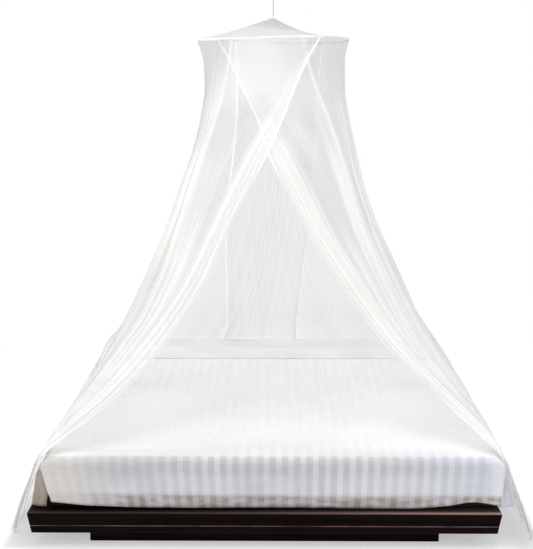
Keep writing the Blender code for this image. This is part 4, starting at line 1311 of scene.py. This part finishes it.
def spread_surface(across, along):
    """The bedspread: a cloth cut like a cross, across from its middle line and along towards the foot."""
    side, down_side = bend_over(np.abs(across))
    front, down_front = bend_over(along)
    hang_side = np.maximum(down_side - SPREAD_BEND, 0.0) / SIDE_DROP_LENGTH
    hang_front = np.maximum(down_front - SPREAD_BEND, 0.0) / SIDE_DROP_LENGTH
    on_flap = hang_front > 0
    round_side, round_front = np.minimum(down_side, SPREAD_BEND), np.minimum(down_front, SPREAD_BEND)
    down = round_side + round_front - round_side * round_front / SPREAD_BEND

    # the side drops flare in waves, and their front ends wrap round the corner behind the flap
    ripple = np.sin(SIDE_WAVES * along + np.where(across > 0, 2.0, 0.0))
    creases = np.sin(SIDE_CREASES * along + 6.0 * hang_side + 3.0 * ripple) * 0.5 + 0.5
    waves = SIDE_WAVE * (0.5 + 0.5 * ripple) + SIDE_CREASE * creases
    side = side + hang_side**0.5 * (SIDE_FLARE - waves * smooth_step(0.95, 0.80, along))
    narrowed = 1.0 - np.where(across > 0, FLAP_TAPER[1], FLAP_TAPER[0]) * hang_front
    side = side * narrowed
    to_end = np.clip((along - SPREAD_FLAT) / (SPREAD_CORNER - SPREAD_FLAT), 0.0, 1.0)
    off_bend = smooth_step(0.0, 0.12, hang_side)
    wrap = np.radians(WRAP_TURN) * to_end * off_bend
    ruffle = 0.003 * np.sin(7.0 * wrap + 5.0 * hang_side) * hang_side
    side = side - WRAP_RADIUS * (1.0 - np.cos(wrap)) + ruffle * (to_end > 0)
    front = front - WRAP_BEHIND * to_end * off_bend

    # the flap hangs to its uneven hem
    x = np.copysign(side, across)
    place = np.clip(0.5 + 0.5 * x / (SPREAD_REACH * narrowed), 0.0, 1.0)
    hem = monotone([p.place for p in FRONT_HEM], [p.height for p in FRONT_HEM], place)
    drop = SPREAD_TOP - SPREAD_BEND - hem
    down = down + np.where(on_flap, hang_front * drop, 0.0) + hang_side * SIDE_DROP_LENGTH
    front = front + FLAP_WAVE * hang_front * np.sin(FLAP_WAVES * place + 1.0)

    # a long crease across the flap, and its lowest part turned in over the ledge
    from_hem = (1.0 - hang_front) * drop
    crease = CREASE_LEVEL + CREASE_SWAY * np.sin(FLAP_WAVES * place + 0.5) - hem
    tuck = smooth_step(crease, crease - TUCK_LENGTH, from_hem) * on_flap
    bulge = np.exp(-(((from_hem - crease - 0.004) / 0.012) ** 2)) * on_flap
    puckers = np.sin(FLAP_PUCKERS * place + 4.0 * np.sin(11.0 * place))
    puckers = puckers * np.sin(from_hem * 90.0 + 9.0 * place)
    front = front + CREASE_BULGE * bulge * smooth_step(0.06, 0.16, place) - TUCK_DEPTH * tuck
    front = front + FLAP_PUCKER * puckers * hang_front

    # the top is a little uneven, but not at its side edges
    soft = TOP_SWELL * wander(along + 0.35 * across, 0.35, 3)
    soft = soft + TOP_SWELL_ACROSS * wander(across - 0.2 * along, 0.30, 4)
    inside = 1.0 - smooth_step(SPREAD_REACH - 0.15, SPREAD_REACH - 0.05, np.abs(across))
    points = np.stack([x, -front, SPREAD_TOP + np.maximum(soft, -TOP_SWELL) * inside - down], axis=-1)
    masks = {
        "under_crease": tuck * smooth_step(0.06, 0.17, place),
        "hanging": smooth_step(-0.015, 0.155, np.maximum(down_front, down_side) / SPREAD_BEND),
        "plain": smooth_step(0.0, 0.1, hang_side),
    }
    return points, masks


def build_bedspread():
    hem = SPREAD_CORNER + SIDE_DROP_LENGTH
    half = np.concatenate([
        np.linspace(0.0, SPREAD_FLAT, 76, endpoint=False),
        np.linspace(SPREAD_FLAT, SPREAD_CORNER, 9, endpoint=False),
        np.linspace(SPREAD_CORNER, hem, 17),
    ])
    lengths = np.concatenate([np.linspace(-SPREAD_REAR, 0.0, 40, endpoint=False), half])
    across, along = np.meshgrid(np.concatenate([-half[:0:-1], half]), lengths)
    points, masks = spread_surface(across, along)
    far_across = np.maximum(np.abs(across[:-1, :-1]), np.abs(across[:-1, 1:]))
    corners = (far_across > SPREAD_CORNER + 1e-6) & (along[1:, :-1] > SPREAD_CORNER + 1e-6)
    uv = np.stack([across, along], axis=-1)
    spread = add_sheet("satin_bedspread", points, uv, STRIPED, masks, cut_away=corners)
    thicken(spread, SPREAD_THICKNESS)
    hand_over(spread, "bedspread")


TURNED_FRONT = 0.511
TURNED_REAR = 0.775
TURNED_WIDTH = 1.880
TURNED_LOW = 0.3988
TURNED_BEND = 0.0021
TURNED_LAYER = 0.0012
TURNED_ROWS = 30             # in each of its two layers


def build_turned_sheet():
    """The sheet folded back at the pillow end: two layers joined by a soft fold that faces the foot."""
    turns = np.linspace(0.0, math.pi, 9)[1:-1]
    high = TURNED_LOW + 2 * TURNED_BEND
    y = np.concatenate([
        np.linspace(TURNED_REAR, TURNED_FRONT, TURNED_ROWS),
        TURNED_FRONT - TURNED_BEND * np.sin(turns),
        np.linspace(TURNED_FRONT, TURNED_REAR - 0.02, TURNED_ROWS),
    ])
    z = np.concatenate([
        np.full(TURNED_ROWS, TURNED_LOW),
        TURNED_LOW + TURNED_BEND * (1.0 - np.cos(turns)),
        np.full(TURNED_ROWS, high),
    ])
    run = run_along(np.stack([y, z], axis=-1))
    across, along = np.meshgrid(np.linspace(-TURNED_WIDTH / 2, TURNED_WIDTH / 2, 200), run)
    y, z = (np.repeat(line[:, None], across.shape[1], axis=1) for line in (y, z))
    is_upper = smooth_step(TURNED_LOW, high, z)
    y = y + 0.001 * wander(across, 0.5, 8) * smooth_step(TURNED_REAR, TURNED_FRONT, y)
    z = z + is_upper * (0.0010 + 0.0010 * wander(across + 0.8 * y, 0.16, 9))
    uv = np.stack([across, along], axis=-1)
    sheet = add_sheet("turned_back_sheet", np.stack([across, y, z], axis=-1), uv, SHEET_LINEN)
    thicken(sheet, TURNED_LAYER)
    hand_over(sheet, "turned_sheet")


MATTRESS_SIDE = 1.964
MATTRESS_LOW = 0.1596
MATTRESS_ROUNDING = 0.034
SHEET_TUG = 0.0016           # how deep the fitted sheet's pulls are on the sides


def build_mattress():
    """The mattress in its fitted sheet: a full block with rounded edges, its sides drawn in soft pulls."""
    mesh = bpy.data.meshes.new("mattress_in_sheet")
    block = bmesh.new()
    bmesh.ops.create_cube(block, size=1.0)
    height = MATTRESS_TOP - MATTRESS_LOW
    for vert in block.verts:
        vert.co.x *= MATTRESS_SIDE
        vert.co.y *= MATTRESS_SIDE
        vert.co.z = MATTRESS_LOW + (vert.co.z + 0.5) * height
    bmesh.ops.bevel(
        block, geom=list(block.edges), offset=MATTRESS_ROUNDING, segments=6, profile=0.5, affect="EDGES"
    )
    faces = [face for face in block.faces if face.calc_area() > 0.05]
    rims = list({edge for face in faces for edge in face.edges})
    bmesh.ops.subdivide_edges(block, edges=rims, cuts=28, use_grid_fill=True)
    for vert in block.verts:
        x, y, z = vert.co
        if MATTRESS_LOW + 0.05 < z < MATTRESS_TOP - 0.04:
            belly = 0.5 - 0.5 * math.cos(math.tau * (z - MATTRESS_LOW) / height)
            tug = SHEET_TUG * math.sin(38.0 * (x + y) + 22.0 * z) * belly
            vert.co.x -= math.copysign(abs(tug), x) * (abs(x) > MATTRESS_SIDE / 2 - 0.002)
            vert.co.y -= math.copysign(abs(tug), y) * (abs(y) > MATTRESS_SIDE / 2 - 0.002)
    block.to_mesh(mesh)
    block.free()
    mesh.shade_smooth()
    pad = link_object("mattress_in_sheet", mesh, MATTRESS_LINEN)
    hand_over(pad, "mattress")


def finish_hard_parts():
    """The nodes that stay as they are get their finish."""
    for material, names in (
        (WOOD, ("base_top", "base_lower", "plinth")),
        (ROD, ("hoop",)),
        (STEEL, ("top_ring", "ceiling_hook", "ceiling_plate")),
    ):
        for name in names:
            data = nodes[name].data
            data.materials.clear()
            data.materials.append(material)


FLOOR_SIZE = 16.0


def build_floor():
    mesh = bpy.data.meshes.new("studio_floor")
    signs = ((-1, -1), (1, -1), (1, 1), (-1, 1))
    corners = [(x * FLOOR_SIZE / 2, y * FLOOR_SIZE / 2, 0.0) for x, y in signs]
    mesh.from_pydata(corners, [], [(0, 1, 2, 3)])
    link_object("studio_floor", mesh, floor_finish())


build_curtains()
build_casing()
build_roof()
build_roof_seam()
build_loop()
build_bedspread()
build_turned_sheet()
build_mattress()
finish_hard_parts()
build_floor()
make_studio()
